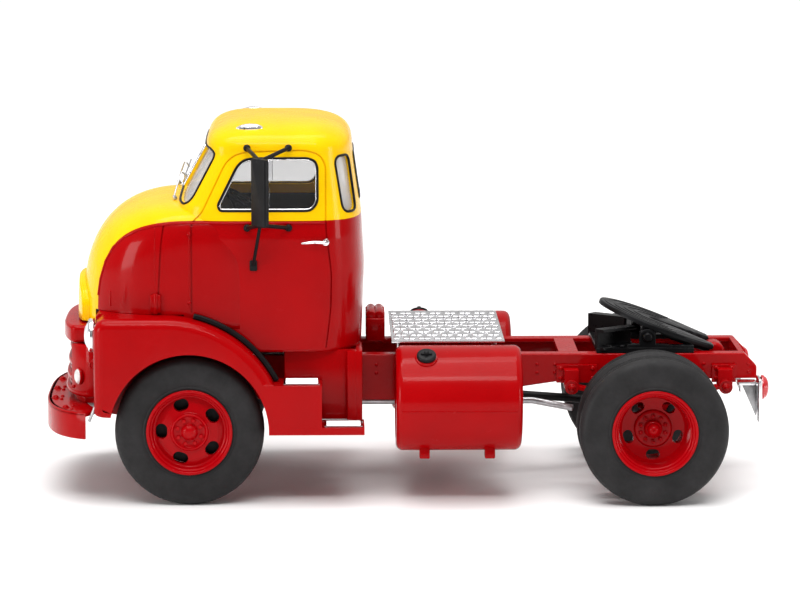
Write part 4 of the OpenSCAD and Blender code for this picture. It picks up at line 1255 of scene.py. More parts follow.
def bumper_x(y, behind=0.0):
    """The bumper's face, bowed across its width."""
    return BUMPER_ROOT_X - behind + BUMPER_BOW * (1 - (abs(y) / BUMPER_HALF_W) ** 3) ** (1 / 3)


def bumper_slab(depth, z0, z1, radius, segments=3, steps=56):
    """A slab that follows the bumper's bow, its top, bottom and end edges rounded."""
    span = [-BUMPER_END_Y + 2 * BUMPER_END_Y * k / steps for k in range(steps + 1)]
    outline = [(bumper_x(y), y) for y in span]
    outline += [(bumper_x(y * (1 - depth / 40), depth), y * (1 - depth / 40)) for y in reversed(span)]
    bm = prism(outline, "z", z0, z1)
    level = set(rim_edges(bm, 2))
    ends = {e for e in bm.edges if all(abs(v.co.y) > BUMPER_CORNER_Y for v in e.verts)
            and e.calc_face_angle(0) > SHARP}
    round_edges(bm, [e for e in bm.edges if e in level or e in ends], radius, segments)
    return bm


class TRACTOR_OT_bumper(bpy.types.Operator):
    """Builds the bumper with its flange and bolts, and the irons that hold it"""
    bl_idname = "tractor.bumper"
    bl_label = "Bumper"

    def execute(self, context):
        bumper = bumper_slab(0.9, BUMPER_FOOT_Z, BUMPER_TOP_Z, 0.38, 3)
        flange = bumper_slab(6.4, BUMPER_TOP_Z - 0.75, BUMPER_TOP_Z, 0.28, 2)
        fender_room = block((30, -PAST_Y, BUMPER_FOOT_Z),
                            (FENDER_FRONT_X + 0.15, PAST_Y, BUMPER_TOP_Z + 1), 0)
        add(bumper, combine(flange, "DIFFERENCE", fender_room))
        for y in (0, 9.6, 19.4, -9.6, -19.4):
            x = bumper_x(y, 1.3)
            add(bumper, rod((x, y, BUMPER_TOP_Z - 0.1), (x, y, BUMPER_TOP_Z + 0.12), 0.72, 0.66, 24, 0.06))
            add(bumper, dome((x, y, BUMPER_TOP_Z + 0.1), 0.52, 0.8, 20))
            for lean in (-1.5, 1.5):
                add(bumper, dome((x - 1.1, y + lean, BUMPER_TOP_Z), 0.34, 0.8, 14))
        piece(bumper, "bumper_blade", "chassis", "red_paint", ["front_bumper"], angle=50)

        irons = bmesh.new()
        for side in (1, -1):
            add(irons, block((50.6, 7.6 * side, 12.6), (59.2, 9.0 * side, 14.6), 0.15))
            add(irons, rod((51.3, 24.3 * side, 16.9), (52.5, 24.0 * side, 14.0), 0.24))
            for x in (52.2, 54.2):
                add(irons, dome((x, 9.0 * side, 13.6), 0.35, axis=(0, side, 0)))
        piece(irons, "bumper_brackets", "chassis", "grey_metal", ["bumper_irons"])
        return {"FINISHED"}


# ---------- outside fittings ----------
MIRROR_X, MIRROR_Y, MIRROR_TURN = 24.2, 26.3, math.radians(38)
HANDLE_Z = 43.2


class TRACTOR_OT_fittings(bpy.types.Operator):
    """Builds the mirrors, handles, wipers and roof lamps"""
    bl_idname = "tractor.fittings"
    bl_label = "Mirrors and small fittings"

    def execute(self, context):
        head_at = Matrix.Translation((MIRROR_X, MIRROR_Y, 0)) @ Matrix.Rotation(MIRROR_TURN, 4, "Z")
        for side in SIDES:
            mirror = bmesh.new()
            face = soften([(-1.9, 46.4), (1.9, 46.4), (1.9, 57.6), (-1.9, 57.6)], 0.5, 4)
            head = prism(face, "x", -0.5, 0.5)
            round_edges(head, rim_edges(head, 0), 0.28, 3)
            add(mirror, head, head_at)
            for top, foot_z, foot_y in ((57.2, 58.6, 19.2), (46.7, 45.6, 20.9)):
                hub = Vector((MIRROR_X, MIRROR_Y, top))
                add(mirror, dome(hub, 0.55))
                for foot_x in (26.4, 19.6):
                    foot = Vector((foot_x, foot_y, foot_z))
                    add(mirror, rod(hub, foot, 0.34))
                    add(mirror, dome(foot, 0.62, 0.75, axis=(0, 1, 0.2)))
            add(mirror, rod((MIRROR_X, MIRROR_Y, 46.6), (25.4, 21.3, 39.6), 0.28))
            pad = block((-0.62, 0.0, -0.9), (0.62, 0.42, 0.9), 0.3, 3)
            add(mirror, pad, Matrix.Translation((25.4, 20.95, 39.4)))
            piece(on_the(side, mirror), f"mirror_arm_{side}", "chassis", "black_part",
                  [f"mirror_{side}"])
            glass = block((-0.56, -1.55, 46.8), (-0.46, 1.55, 57.2), 0.04, 1)
            glass.transform(head_at)
            piece(on_the(side, glass), f"mirror_face_{side}", "chassis", "bright_trim")

        handles = bmesh.new()
        add(handles, rod((13.5, 20.95, HANDLE_Z), (13.5, 21.75, HANDLE_Z), 0.42, 0.36, 24, 0.1))
        add(handles, rod((13.4, 21.6, HANDLE_Z), (15.4, 21.7, 43.3), 0.30, 0.26, 16, 0.08))
        add(handles, rod((15.3, 21.7, 43.3), (17.5, 21.6, 43.1), 0.27, 0.17, 16, 0.08))
        add(handles, rod((13.5, 20.9, HANDLE_Z), (13.5, 21.15, HANDLE_Z), 0.62, 0.55, 28, 0.08))
        piece(both_sides(handles), "handle_levers", "chassis", "bright_trim", ["door_handles"])

        wipers = bmesh.new()
        add(wipers, rod((38.45, 11, 49.2), (38.75, 11, 49.9), 0.36, 0.28, 16, 0.06))
        add(wipers, tube([(38.75, 11, 49.6), (38.2, 9.6, 51.6), (37.55, 8, 53.4), (37.15, 7.8, 53.2),
                          (36.75, 7.8, 52.5)], 0.15))
        add(wipers, tube([(37.45, 3.6, 51.3), (36.95, 7.6, 52.45), (36.55, 11.6, 53.4)], 0.13))
        piece(both_sides(wipers), "wiper_arms", "chassis", "grey_metal", ["wipers"])

        lamps = bmesh.new()
        collars = bmesh.new()
        lenses = bmesh.new()
        where = (Matrix.Translation((26.05, 14.8, 61.25)) @ Matrix.Rotation(math.radians(-15.5), 4, "X")
                 @ Matrix.Rotation(math.radians(3), 4, "Y"))
        add(lamps, dome((0, 0, 0), 1, 1, 32), where @ Matrix.Diagonal((2.35, 0.85, 0.98, 1)))
        collar_at = Matrix.Translation((1.0, 0, 0)) @ Matrix.Rotation(math.radians(62), 4, "Y")
        add(collars, turned(ring(0.84, 0.1, 8), 32),
            where @ collar_at @ Matrix.Diagonal((1.05, 0.92, 1, 1)))
        add(lenses, dome((0, 0, 0), 1, 1, 24), where @ Matrix.Translation((0.42, 0, 0))
            @ Matrix.Diagonal((2.0, 0.76, 0.84, 1)))
        piece(both_sides(lamps), "roof_lamp_bodies", "chassis", "bright_trim", ["roof_lamps"])
        piece(both_sides(lenses), "roof_lamp_lenses", "chassis", "lamp_white")
        piece(both_sides(collars), "roof_lamp_collars", "chassis", "black_part")
        return {"FINISHED"}


# ---------- behind the cab ----------
TANK_R = 8.7
TANK_AT = (19.5, 17.0)
TANK_X0, TANK_X1 = -18.8, 2.0
FILLER_X, FILLER_TILT = -3, math.radians(-32)


class TRACTOR_OT_tanks(bpy.types.Operator):
    """Builds the fuel tanks, their feet, seams and filler caps"""
    bl_idname = "tractor.tanks"
    bl_label = "Fuel tanks"

    def execute(self, context):
        y, z = TANK_AT
        tank_l = TANK_X1 - TANK_X0
        filler_at = Matrix.Translation((FILLER_X, y, z)) @ Matrix.Rotation(FILLER_TILT, 4, "X")
        for side in SIDES:
            profile = [(0, 0.25), (TANK_R - 2.2, 0.25), (TANK_R - 1.9, 0)]
            profile += arc((TANK_R - 1.2, 1.2), 1.2, -90, 0, 8)
            profile += arc((TANK_R - 1.2, tank_l - 1.2), 1.2, 0, 90, 8)
            profile += [(TANK_R - 1.9, tank_l), (TANK_R - 2.2, tank_l - 0.25), (0, tank_l - 0.25)]
            tank = turned(profile, 160, closed=False)
            tank.transform(Matrix.Translation((TANK_X0, y, z)) @ ALONG_X)
            seam_y = y + math.sqrt((TANK_R - 0.02) ** 2 - 0.81)
            add(tank, tube([(TANK_X0 + 0.9, seam_y, z - 0.9), (TANK_X1 - 0.9, seam_y, z - 0.9)], 0.13))
            for x in (-3.6, -14.4):
                foot = [(19.9, 7.4), (23.5, 7.4), (23.2, 9.3), (20.2, 9.3)]
                add(tank, rounded_prism(foot, "x", x, x + 1.7, 0.2))
            add(tank, block((-12, RAIL_Y + 0.05, 16), (-8, y - TANK_R + 1, 19), 0.25))
            collar = rod((0, 0, TANK_R - 0.25), (0, 0, TANK_R + 0.22), 1.95, 1.85, 40, 0.1)
            add(tank, collar, filler_at)
            piece(on_the(side, tank), f"tank_{side}", "chassis", "red_paint",
                  [f"fuel_tank_{side}"], angle=38)

        cap = turned(soften([(0, 0.1), (1.6, 0.1), (1.6, 0.62), (1.35, 0.78), (0, 0.8)], 0.1, 2), 40)
        add(cap, rod((0, 0, 0.7), (0, 0, 1.45), 0.42, 0.36, 20, 0.1))
        add(cap, block((-0.95, -0.22, 0.7), (0.95, 0.22, 1.1), 0.12))
        cap.transform(filler_at @ Matrix.Translation((0, 0, TANK_R + 0.1)))
        piece(both_sides(cap), "filler_cap_tops", "chassis", "black_part", ["filler_caps"])
        return {"FINISHED"}


class TRACTOR_OT_deck(bpy.types.Operator):
    """Builds the ribbed deck plate, the battery box and the air tank"""
    bl_idname = "tractor.deck"
    bl_label = "Deck plate and tanks"

    def execute(self, context):
        lo, hi = low("deck_plate"), high("deck_plate")
        deck = block((lo.x, lo.y, hi.z - 0.6), (hi.x, hi.y, hi.z - 0.22), 0.1)
        count = sizes().deck_ribs
        border = 1.1
        pitch = (hi.x - lo.x - 0.8) / count
        rows = 9
        run = (hi.y - lo.y - 2 * border) / rows
        for i in range(count):
            x = lo.x + 0.4 + pitch * (i + 0.5)
            for j in range(rows):
                y0 = lo.y + border + run * j
                lean = 0.16 * (1 if (i + j) % 2 else -1)
                bar = block((-pitch * 0.36, 0.12, 0), (pitch * 0.36, run - 0.12, 0.24), 0.09, 1)
                add(deck, bar, Matrix.Translation((x + lean, y0, hi.z - 0.25)))
        for x in (lo.x + 1, hi.x - 1.6):
            add(deck, block((x, -RAIL_Y, FRAME_TOP + 0.05), (x + 0.6, RAIL_Y, hi.z - 0.5), 0.1))
        piece(deck, "deck_tread_plate", "chassis", "deck_metal", ["deck_plate"])

        lo, hi = low("battery_box"), high("battery_box")
        box = block(lo, (hi.x, hi.y, hi.z - 1.2), 0.3, 3)
        for x in (lo.x + 0.9, hi.x - 0.9):
            add(box, rod((x, lo.y + 0.3, hi.z - 0.9), (x, hi.y - 0.3, hi.z - 0.9), 0.85,
                         segments=24, soft=0.2))
        for y in (lo.y + 2, (lo.y + hi.y) / 2, hi.y - 2):
            add(box, block((lo.x - 0.02, y - 0.35, lo.z), (hi.x + 0.02, y + 0.35, hi.z - 0.35), 0.15))
        piece(box, "battery_box_cover", "chassis", "red_paint", ["battery_box"])

        centre = (low("air_tank") + high("air_tank")) / 2
        half = (high("air_tank").y - low("air_tank").y) / 2
        r = (high("air_tank").z - low("air_tank").z) / 2
        flask = turned([(0, -half)] + arc((r - 0.6, -half + 0.6), 0.6, -90, 0, 5)
                       + arc((r - 0.6, half - 0.6), 0.6, 0, 90, 5) + [(0, half)], 48, closed=False)
        for h in (-1.3, 1.3):
            strap = [(r - 0.1, h - 0.25), (r, h - 0.25), (r, h + 0.25), (r - 0.1, h + 0.25)]
            add(flask, turned(soften(strap, 0.03, 1), 48))
        flask.transform(Matrix.Translation(centre) @ ALONG_Y)
        piece(flask, "air_flask", "chassis", "chassis_red", ["air_tank"])
        return {"FINISHED"}


# ---------- fifth wheel ----------
PIVOT = Vector((-40.6, 0, 25.5))
PLATE_TILT = math.radians(21)
PLATE_LOW, PLATE_HIGH = 1.5, 2.3
PLATE_MID, PLATE_R = -1.1, 9.8
RIDGE_RS = (3.4, 5.2, 7.0, 8.7)


def plate_outline():
    """The coupling plate's plan, with the slot that leads the kingpin in."""
    rim = arc((PLATE_MID, 0), PLATE_R, -97, 97, 80)
    horn = soften([rim[-1], (-6.2, 8.9), (-11.6, 6.2), (-11.6, 3.3)], 0.5, 3, closed=False)[1:]
    horn.append((-4.8, 0.95))
    hole = arc((-1.6, 0), 1.3, 133, -133, 24)
    return rim + horn + hole + [(a, -b) for a, b in reversed(horn)]


class TRACTOR_OT_coupling(bpy.types.Operator):
    """Builds the tilting coupling plate and the base that carries it"""
    bl_idname = "tractor.coupling"
    bl_label = "Fifth wheel"

    def execute(self, context):
        plate = prism(plate_outline(), "z", PLATE_LOW, PLATE_HIGH - 0.03)
        top = [e for e in plate.edges if all(v.co.z > PLATE_HIGH - 0.1 for v in e.verts)]
        round_edges(plate, top, 0.28, 3)
        for radius in RIDGE_RS:
            ridge = ribbon(arc((PLATE_MID, 0), radius, -112, 112, 56), 0.75)
            add(plate, rounded_prism(ridge, "z", PLATE_HIGH - 0.14, PLATE_HIGH + 0.08, 0.09, 2))
        for side in (1, -1):
            add(plate, block((-1.3, 6.7 * side, -0.2), (1.3, 8.1 * side, PLATE_LOW + 0.1), 0.2))
            add(plate, rod((0, 6.7 * side, 0), (0, 8.1 * side, 0), 1.2, segments=32, soft=0.12))
            add(plate, rod((0, 8.0 * side, 0), (0, 9.9 * side, 0), 0.8, segments=28, soft=0.1))
            add(plate, rounded_prism([(-11.2, 4.0 * side), (-11.2, 5.6 * side), (-2.4, 7.6 * side),
                                      (-2.4, 6.2 * side)], "z", 0.7, PLATE_LOW + 0.05, 0.18))
            add(plate, block((-4.4, 1.5 * side, 0.6), (1.6, 3.2 * side, PLATE_LOW + 0.05), 0.2))
        add(plate, rod((0, -6.8, 0.35), (0, 6.8, 0.35), 0.55, segments=20))
        plate.transform(Matrix.Translation(PIVOT) @ Matrix.Rotation(-PLATE_TILT, 4, "Y"))
        piece(plate, "coupling_top", "coupling_plate", "coupling_plate",
              ["fifth_wheel_plate"], angle=45)

        base = cad_copy("fifth_wheel_base", 4)
        for side in (1, -1):
            for x in (-46.6, -44.6, -36.4, -34.2):
                add(base, nut((x, 9.1 * side, FRAME_TOP + 0.85), 0.5, 0.5, (0, 0, 1)))
            add(base, nut((PIVOT.x, 9.68 * side, PIVOT.z), 0.8, 0.5, (0, side, 0)))
        soft_edges(piece(base, "coupling_base", "chassis", "coupling_black",
                         ["fifth_wheel_base"], angle=40), 0.00016)
        return {"FINISHED"}


# ---------- frame ----------
RAIL_RIVET_XS = (-57.6, -50, -25, -22, 5, 9, 13, 44, 47)
HANGER_RIVET_ZS = (20.4, 18.7)
COVER_BOLTS_R = 2.75


class TRACTOR_OT_frame(bpy.types.Operator):
    """Builds the frame rails and members, the springs and axles, with their bolts and rivets"""
    bl_idname = "tractor.frame"
    bl_label = "Frame and running gear"

    def execute(self, context):
        for side, sign in (("left", 1), ("right", -1)):
            rail = cad_copy(f"frame_rail_{side}", 1)
            y = RAIL_Y * sign
            for x in RAIL_RIVET_XS:
                for z in (21.0, 19.6):
                    add(rail, dome((x, y, z), 0.3, 0.6, 14, (0, sign, 0)))
            soft_edges(piece(rail, f"rail_{side}", "chassis", "chassis_red",
                             [f"frame_rail_{side}"], angle=30), 0.0002)
        for node, name, look in (("crossmembers", "cross_members", "chassis_red"),
                                 ("front_springs", "front_leaf_springs", "chassis_red"),
                                 ("front_axle_beam", "front_beam", "chassis_red"),
                                 ("exhaust_pipe", "exhaust_tube", "grey_metal"),
                                 ("driveshaft", "prop_shaft", "black_part")):
            soft_edges(piece(cad_copy(node), name, "chassis", look, [node], angle=35), 0.00014)

        engine = cad_copy("engine_block")
        for x in (31, 35, 39, 43):
            for side in (1, -1):
                add(engine, block((x - 0.9, 6.4 * side, 17), (x + 0.9, 7.0 * side, 22), 0.2))
        soft_edges(piece(engine, "engine_and_gearbox", "chassis", "chassis_red",
                         ["engine_block"]), 0.0003, 3)

        springs = cad_copy("rear_springs", 1)
        for side in (1, -1):
            y = 10.95 * side
            for h0, h1 in ((-32, -25.2), (-55.4, -51.4)):
                for x in (h0 + 0.7, h1 - 0.7):
                    for z in HANGER_RIVET_ZS:
                        add(springs, dome((x, y, z), 0.42, 0.6, 16, (0, side, 0)))
            for x in (-27.6, -53.4):
                pin_y = 14.25 * side
                add(springs, nut((x, pin_y, AXLE_Z + 5.4), 0.75, 0.5, (0, side, 0), 0.3))
                add(springs, dome((x, pin_y + 0.45 * side, AXLE_Z + 5.4), 0.42, 0.6, 16, (0, side, 0)))
                add(springs, rod((x, 10.2 * side, AXLE_Z + 5.4), (x, 12.0 * side, AXLE_Z + 6.9), 0.7, 0.95))
            for x in (REAR_AXLE.x - 1.1, REAR_AXLE.x + 1.1):
                for yy in (11.2, 13.8):
                    add(springs, rod((x, yy * side, AXLE_Z + 1.2), (x, yy * side, AXLE_Z + 5.1), 0.3,
                                     segments=12, soft=0.06))
        soft_edges(piece(springs, "rear_leaf_springs", "chassis", "chassis_red",
                         ["rear_springs"], angle=35), 0.00016)

        housing = cad_copy("rear_axle_housing", 0.5)
        for _, y, z in around(COVER_BOLTS_R, 10):
            add(housing, nut((REAR_AXLE.x - 1.6, y, AXLE_Z + z), 0.32, 0.5, (-1, 0, 0)))
        soft_edges(piece(housing, "axle_housing", "chassis", "black_part",
                         ["rear_axle_housing"], angle=35), 0.0002)
        for node, body in (("front_axle_pin", "front_axle"), ("rear_axle_pin", "rear_axle")):
            soft_edges(piece(cad_copy(node, 0.5), f"{body}_rod", body, "axle_steel", [node]),
                       0.0001)
        return {"FINISHED"}


TAIL_X = -59.15
TAIL_LAMP_R = 1.85


class TRACTOR_OT_tail(bpy.types.Operator):
    """Builds the tail brackets and lamps"""
    bl_idname = "tractor.tail"
    bl_label = "Tail"

    def execute(self, context):
        brackets = bmesh.new()
        gussets = bmesh.new()
        lamps = bmesh.new()
        rims = bmesh.new()
        for side in (1, -1):
            plate = prism(soften([(12.6 * side, 12.2), (17.6 * side, 12.2), (17.6 * side, 19.5),
                                  (12.6 * side, 19.5)], 0.4, 4), "x", TAIL_X, -58.55)
            round_edges(plate, rim_edges(plate, 0), 0.14)
            add(brackets, plate)
            add(brackets, block((-58.7, 10.35 * side, 17.9), (-55.5, 13.7 * side, 18.45), 0.14))
            gusset = [(-58.6, 12.6), (-58.6, 18), (-56.2, 18)]
            add(gussets, rounded_prism(gusset, "y", 12.65 * side, 13.2 * side, 0.1))
            for z in (13.3, 15.0):
                add(brackets, dome((TAIL_X, 15.1 * side, z), 0.3, 0.6, axis=(-1, 0, 0)))
            where = Matrix.Translation((TAIL_X, 15.4 * side, 17.9)) @ Matrix.Rotation(-math.pi / 2, 4, "Y")
            lens = [(0, 0.1), (TAIL_LAMP_R, 0.1)] + bulge(TAIL_LAMP_R, 0.45, 0.85, 9)
            add(lamps, turned(lens, 48, closed=False), where)
            add(rims, turned(soften([(1.7, 0), (2.05, 0), (2.05, 0.4), (1.75, 0.62)], 0.12, 2), 48), where)
        piece(brackets, "tail_plates", "chassis", "bright_trim", ["tail_brackets"], angle=45)
        piece(gussets, "tail_gussets", "chassis", "grey_metal")
        piece(lamps, "tail_lenses", "chassis", "lamp_red", ["tail_lamps"], angle=60)
        piece(rims, "tail_lamp_rims", "chassis", "lamp_red", angle=50)
        return {"FINISHED"}


# ---------- wheels ----------
TYRE_W, REAR_TYRE_W = 5.8, 5.7
FRONT_INNER_Y = 25.4 - TYRE_W              # the tyres' inner faces, from the middle line
REAR_INNER_Y, REAR_OUTER_Y = 15.2, 28
BEAD_R = 6.65
DRUM_BACK, DRUM_FRONT = TYRE_W - 4.1, TYRE_W - 3.3
HUB_NUTS_R = 2.0
REAR_STUDS, REAR_STUDS_R = 10, 2.15
FRONT_HOLE_TURN, REAR_HOLE_TURN = 71, 18   # degrees


def tyre(w):
    """One tyre of width w about Z, its inner face at 0, with beaded sidewalls and three tread grooves."""
    side = [(BEAD_R, 0.55), (6.95, 0.28), (7.25, 0.16), (7.45, 0.14), (7.55, 0.22), (7.7, 0.22), (7.85, 0.1),
            (8.8, 0.02), (9.7, 0.0), (10.6, 0.08), (11.3, 0.26), (11.75, 0.52), (12.0, 0.85),
            (12.14, 1.15), (TYRE_R - 0.08, 1.3)]
    tread = []
    for k in range(3):
        h = w / 2 + (k - 1) * w * 0.155
        tread += [(TYRE_R, h - 0.2), (TYRE_R - 0.42, h - 0.13), (TYRE_R - 0.42, h + 0.13), (TYRE_R, h + 0.2)]
    profile = side + tread + [(r, w - h) for r, h in reversed(side)]
    return turned(profile, 180)


def hand_holes(radius, length, width, turn):
    """The five slots that go through a wheel's disc."""
    cutters = []
    half = (length - width) / 2
    for k in range(5):
        outline = arc((0, half), width / 2, 0, 180, 12) + arc((0, -half), width / 2, 180, 360, 12)
        slot = prism([(radius + x, y) for x, y in outline], "z", -20, 20)
        slot.transform(Matrix.Rotation(math.radians(turn + 72 * k), 4, "Z"))
        cutters.append(slot)
    return cutters


def punched(bm, cutters):
    """A wheel with its holes cut, and its flat faces whole again."""
    holed = combine(bm, "DIFFERENCE", *cutters)
    bmesh.ops.dissolve_limit(holed, angle_limit=math.radians(0.5), use_dissolve_boundaries=False,
                             verts=holed.verts, edges=holed.edges)
    return holed


def front_wheel():
    """Shallow dished disc about Z, its outer lip towards +Z."""
    w = TYRE_W
    profile = [(0.95, w - 4.2), (2.4, w - 4.2), (2.4, w - 2), (5.7, w - 2.4), (5.9, w - 4.6), (6.6, w - 5.2),
               (6.6, w - 0.4)]
    lip = soften([(6.6, w - 0.4), (7.1, w - 0.12), (7.1, w + 0.33), (6.62, w + 0.33), (6.42, w - 0.25),
                  (6.2, w - 0.32), (6.02, w - 1.25), (5.7, w - 1.38)], 0.22, 3, closed=False)
    face = soften([(5.7, w - 1.38), (4.7, w - 1.0), (3.35, w - 0.85), (3.1, w - 0.75), (3.05, w - 0.28),
                   (2.75, w - 0.2), (2.6, w - 0.5), (1.35, w - 0.55), (1.2, w - 0.1), (0.75, w + 0.28),
                   (0, w + 0.36)], 0.14, 2, closed=False)
    wheel = punched(turned(profile + lip[1:] + face[1:] + [(0, w - 1), (0.95, w - 1)], 120),
                    hand_holes(4.6, 2.55, 1.9, 0))
    for turn, x, y in around(HUB_NUTS_R, sizes().hub_nuts):
        add(wheel, nut((x, y, w - 0.58), 0.36, 0.5, (0, 0, 1), turn))
    return wheel


def rear_wheel():
    """Deep dished disc about Z, its rims running back over the inner tyre."""
    w = REAR_OUTER_Y - REAR_INNER_Y
    flange = w - 5.2
    profile = [(0.95, flange - 1.6), (5.6, flange - 1.6), (5.6, 0.7), (6.6, 0.3), (6.6, w - 0.5)]
    lip = soften([(6.6, w - 0.5), (7.1, w - 0.15), (7.1, w + 0.18), (6.66, w + 0.18), (6.5, w - 0.3),
                  (6.28, w - 0.36), (6.15, w - 1.0), (5.9, w - 1.15), (5.62, flange + 1.3),
                  (5.2, flange + 0.55)], 0.2, 3, closed=False)
    face = soften([(5.2, flange + 0.55), (3.15, flange + 0.05), (3.05, flange + 0.4), (2.7, flange + 0.5),
                   (1.5, flange + 0.45), (1.4, flange + 1.35), (1.15, flange + 1.5)], 0.16, 2, closed=False)
    cap = arc((0, flange + 1.5), 1.12, 0, 90, 8)
    wheel = punched(turned(profile + lip[1:] + face[1:-1] + cap[:-1] + [(0, flange + 2.3), (0, flange),
                                                                         (0.95, flange)], 120),
                    hand_holes(4.3, 2.3, 1.6, 0))
    for turn, x, y in around(REAR_STUDS_R, REAR_STUDS):
        add(wheel, nut((x, y, flange + 0.42), 0.4, 0.45, (0, 0, 1), turn))
        add(wheel, dome((x, y, flange + 0.85), 0.24))
    return wheel


class TRACTOR_OT_wheels(bpy.types.Operator):
    """Builds the wheels and their tyres on both axles"""
    bl_idname = "tractor.wheels"
    bl_label = "Wheels and tyres"

    def execute(self, context):
        left_turn = Matrix.Rotation(-math.pi / 2, 4, "X")
        for side, flip in (("left", Matrix.Identity(4)), ("right", Matrix.Rotation(math.pi, 4, "Z"))):
            front = Matrix.Translation((FRONT_AXLE.x, 0, AXLE_Z)) @ flip
            rear = Matrix.Translation((REAR_AXLE.x, 0, AXLE_Z)) @ flip
            front_at = front @ Matrix.Translation((0, FRONT_INNER_Y, 0)) @ left_turn
            rear_at = rear @ Matrix.Translation((0, REAR_INNER_Y, 0)) @ left_turn
            disc_front = front_wheel()
            disc_front.transform(front_at @ Matrix.Rotation(math.radians(FRONT_HOLE_TURN), 4, "Z"))
            piece(disc_front, f"front_disc_{side}", "front_axle", "wheel_red",
                  [f"front_wheel_{side}"], angle=42)
            disc_rear = rear_wheel()
            disc_rear.transform(rear_at @ Matrix.Rotation(math.radians(REAR_HOLE_TURN), 4, "Z"))
            piece(disc_rear, f"rear_disc_{side}", "rear_axle", "wheel_red",
                  [f"rear_wheel_{side}"], angle=42)

            drum = turned([(2.3, DRUM_BACK), (5.6, DRUM_BACK), (5.6, DRUM_FRONT), (2.3, DRUM_FRONT)], 72)
            drum.transform(front_at)
            piece(drum, f"front_drum_{side}", "front_axle", "black_part", angle=42)

            rubber = tyre(TYRE_W)
            add(rubber, dome((0, 7.25, TYRE_W - 0.2), 0.2, 1.2))
            rubber.transform(front_at)
            piece(rubber, f"front_tread_{side}", "front_axle", "tyre_rubber",
                  [f"front_tyre_{side}"], angle=40)
            twins = tyre(REAR_TYRE_W)
            twins.transform(Matrix.Translation((0, 0, REAR_OUTER_Y - REAR_TYRE_W - REAR_INNER_Y)))
            add(twins, tyre(REAR_TYRE_W))
            twins.transform(rear_at)
            piece(twins, f"rear_treads_{side}", "rear_axle", "tyre_rubber",
                  [f"rear_tyres_{side}"], angle=40)
        return {"FINISHED"}


# ---------- stage ----------
CAMERA_AT = (0.0145, 0.668, 0.128)
CAMERA_YAW, CAMERA_PITCH = math.radians(1.17), math.radians(8.3)
SENSOR_WIDTH = 36
LENS_WIDTHS = 4.96                         # focal length as a multiple of the sensor's width
STUDIO_WHITE = (1, 0.99, 0.985)
SUN_POWER, SUN_SPREAD = 1.82, math.radians(50)
SUN_LEAN = (math.radians(-14), math.radians(6), 0)
# name, place, the point faced, width, length and power
AREA_LIGHTS = (("overhead", (0.03, -0.06, 0.62), (0, 0, 0.02), 0.62, 0.15, 1.2),
               ("near strip", (-0.05, 0.50, 0.62), (0, 0, 0.02), 0.5, 0.12, 1.7),
               ("front card", (0.70, 0.38, 0.14), (0.04, 0, 0.035), 0.28, 0.30, 2.4),
               ("rear card", (-0.74, 0.33, 0.08), (0.01, 0, 0.035), 0.22, 0.30, 2.0))


def area_light(name, at, look_at, width, length, power):
    """A soft rectangular light that the camera doesn't see."""
    data = bpy.data.lights.new(name, "AREA")
    data.energy = power
    data.color = STUDIO_WHITE
    data.shape = "RECTANGLE"
    data.size = width
    data.size_y = length
    lamp = bpy.data.objects.new(name, data)
    lamp.location = at
    lamp.visible_camera = False
    lamp.rotation_euler = (Vector(look_at) - Vector(at)).to_track_quat("-Z", "Y").to_euler()
    bpy.context.scene.collection.objects.link(lamp)


def fade(tree, socket, from_low, from_high, to_low, to_high):
    """A range of a value, stretched onto another range."""
    node = tree.nodes.new("ShaderNodeMapRange")
    for name, value in (("From Min", from_low), ("From Max", from_high), ("To Min", to_low),
                        ("To Max", to_high)):
        node.inputs[name].default_value = value
    tree.links.new(socket, node.inputs["Value"])
    return node.outputs["Result"]


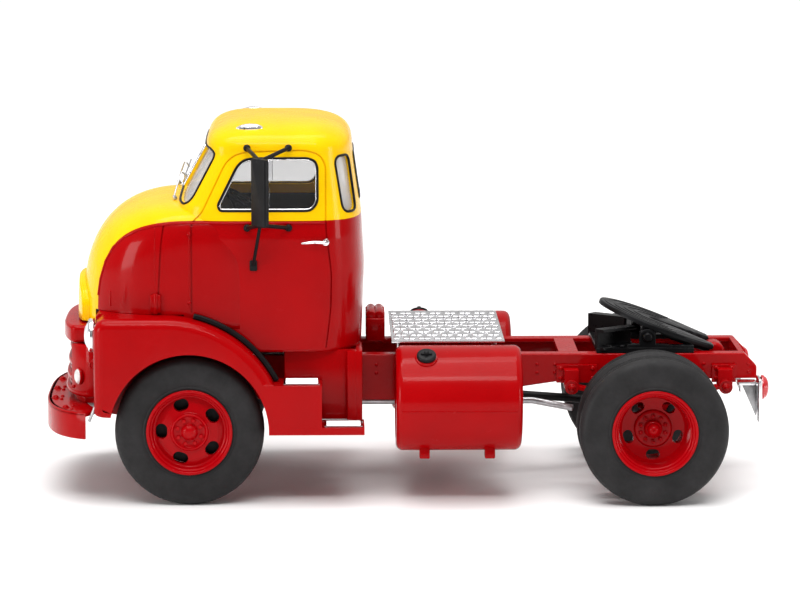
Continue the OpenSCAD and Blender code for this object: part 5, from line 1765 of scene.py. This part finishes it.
class TRACTOR_OT_stage(bpy.types.Operator):
    """Builds the floor, the soft studio light and the camera"""
    bl_idname = "tractor.stage"
    bl_label = "Stage"

    def execute(self, context):
        scene = context.scene
        bm = bmesh.new()
        bmesh.ops.create_grid(bm, x_segments=4, y_segments=4, size=6)
        mesh = bpy.data.meshes.new("floor")
        bm.to_mesh(mesh)
        bm.free()
        mesh.materials.append(finish("pale_floor"))
        floor = bpy.data.objects.new("floor", mesh)
        scene.collection.objects.link(floor)

        world = bpy.data.worlds.new("studio")
        scene.world = world
        world.use_nodes = True
        tree = world.node_tree
        place = tree.nodes.new("ShaderNodeTexCoord")
        split = tree.nodes.new("ShaderNodeSeparateXYZ")
        tree.links.new(place.outputs["Generated"], split.inputs[0])
        both = tree.nodes.new("ShaderNodeMath")
        both.operation = "MULTIPLY"
        tree.links.new(fade(tree, split.outputs["Z"], 0.05, 0.7, 0.45, 0.85), both.inputs[0])
        tree.links.new(fade(tree, split.outputs["Y"], -0.4, 0.8, 1.0, 0.5), both.inputs[1])
        glow = tree.nodes["Background"]
        glow.inputs["Color"].default_value = (*STUDIO_WHITE, 1)
        tree.links.new(both.outputs["Value"], glow.inputs["Strength"])

        key = bpy.data.lights.new("sky key", "SUN")
        key.energy = SUN_POWER
        key.angle = SUN_SPREAD
        lamp = bpy.data.objects.new("sky key", key)
        lamp.rotation_euler = SUN_LEAN
        scene.collection.objects.link(lamp)
        for light in AREA_LIGHTS:
            area_light(*light)

        data = bpy.data.cameras.new("camera")
        data.sensor_width = SENSOR_WIDTH
        data.lens = LENS_WIDTHS * SENSOR_WIDTH
        data.clip_start = 0.01
        camera = bpy.data.objects.new("camera", data)
        scene.collection.objects.link(camera)
        ahead = Vector((-math.sin(CAMERA_YAW) * math.cos(CAMERA_PITCH),
                        -math.cos(CAMERA_YAW) * math.cos(CAMERA_PITCH), -math.sin(CAMERA_PITCH)))
        across = ahead.cross(Vector((0, 0, 1))).normalized()
        above = across.cross(ahead)
        turn = Matrix((across, above, -ahead)).transposed().to_4x4()
        camera.matrix_world = Matrix.Translation(CAMERA_AT) @ turn
        scene.camera = camera
        scene.view_settings.view_transform = "Standard"
        return {"FINISHED"}


BUILD_ORDER = (TRACTOR_OT_stage, TRACTOR_OT_cab, TRACTOR_OT_cab_trim, TRACTOR_OT_glazing,
               TRACTOR_OT_interior, TRACTOR_OT_fenders, TRACTOR_OT_grille, TRACTOR_OT_bumper,
               TRACTOR_OT_fittings, TRACTOR_OT_tanks, TRACTOR_OT_deck, TRACTOR_OT_coupling,
               TRACTOR_OT_frame, TRACTOR_OT_tail, TRACTOR_OT_wheels)


class TRACTOR_PT_pieces(bpy.types.Panel):
    """Lists the tractor's settings and the groups of pieces"""
    bl_idname = "TRACTOR_PT_pieces"
    bl_label = "Tractor unit"
    bl_space_type = "VIEW_3D"
    bl_region_type = "UI"
    bl_category = "Tractor"

    def draw(self, context):
        layout = self.layout
        for group in (context.scene.tractor_sizes, context.scene.tractor_colours):
            column = layout.column(align=True)
            for key in type(group).__annotations__:
                column.prop(group, key)
        for operator in BUILD_ORDER:
            layout.operator(operator.bl_idname)


CLASSES = (TractorColours, TractorSizes, *BUILD_ORDER, TRACTOR_PT_pieces)


def register():
    for cls in CLASSES:
        bpy.utils.register_class(cls)
    bpy.types.Scene.tractor_colours = PointerProperty(type=TractorColours)
    bpy.types.Scene.tractor_sizes = PointerProperty(type=TractorSizes)


def unregister():
    del bpy.types.Scene.tractor_sizes
    del bpy.types.Scene.tractor_colours
    for cls in reversed(CLASSES):
        bpy.utils.unregister_class(cls)


def main():
    register()
    for operator in BUILD_ORDER:
        group, name = operator.bl_idname.split(".")
        getattr(getattr(bpy.ops, group), name)()


if __name__ == "__main__":
    main()
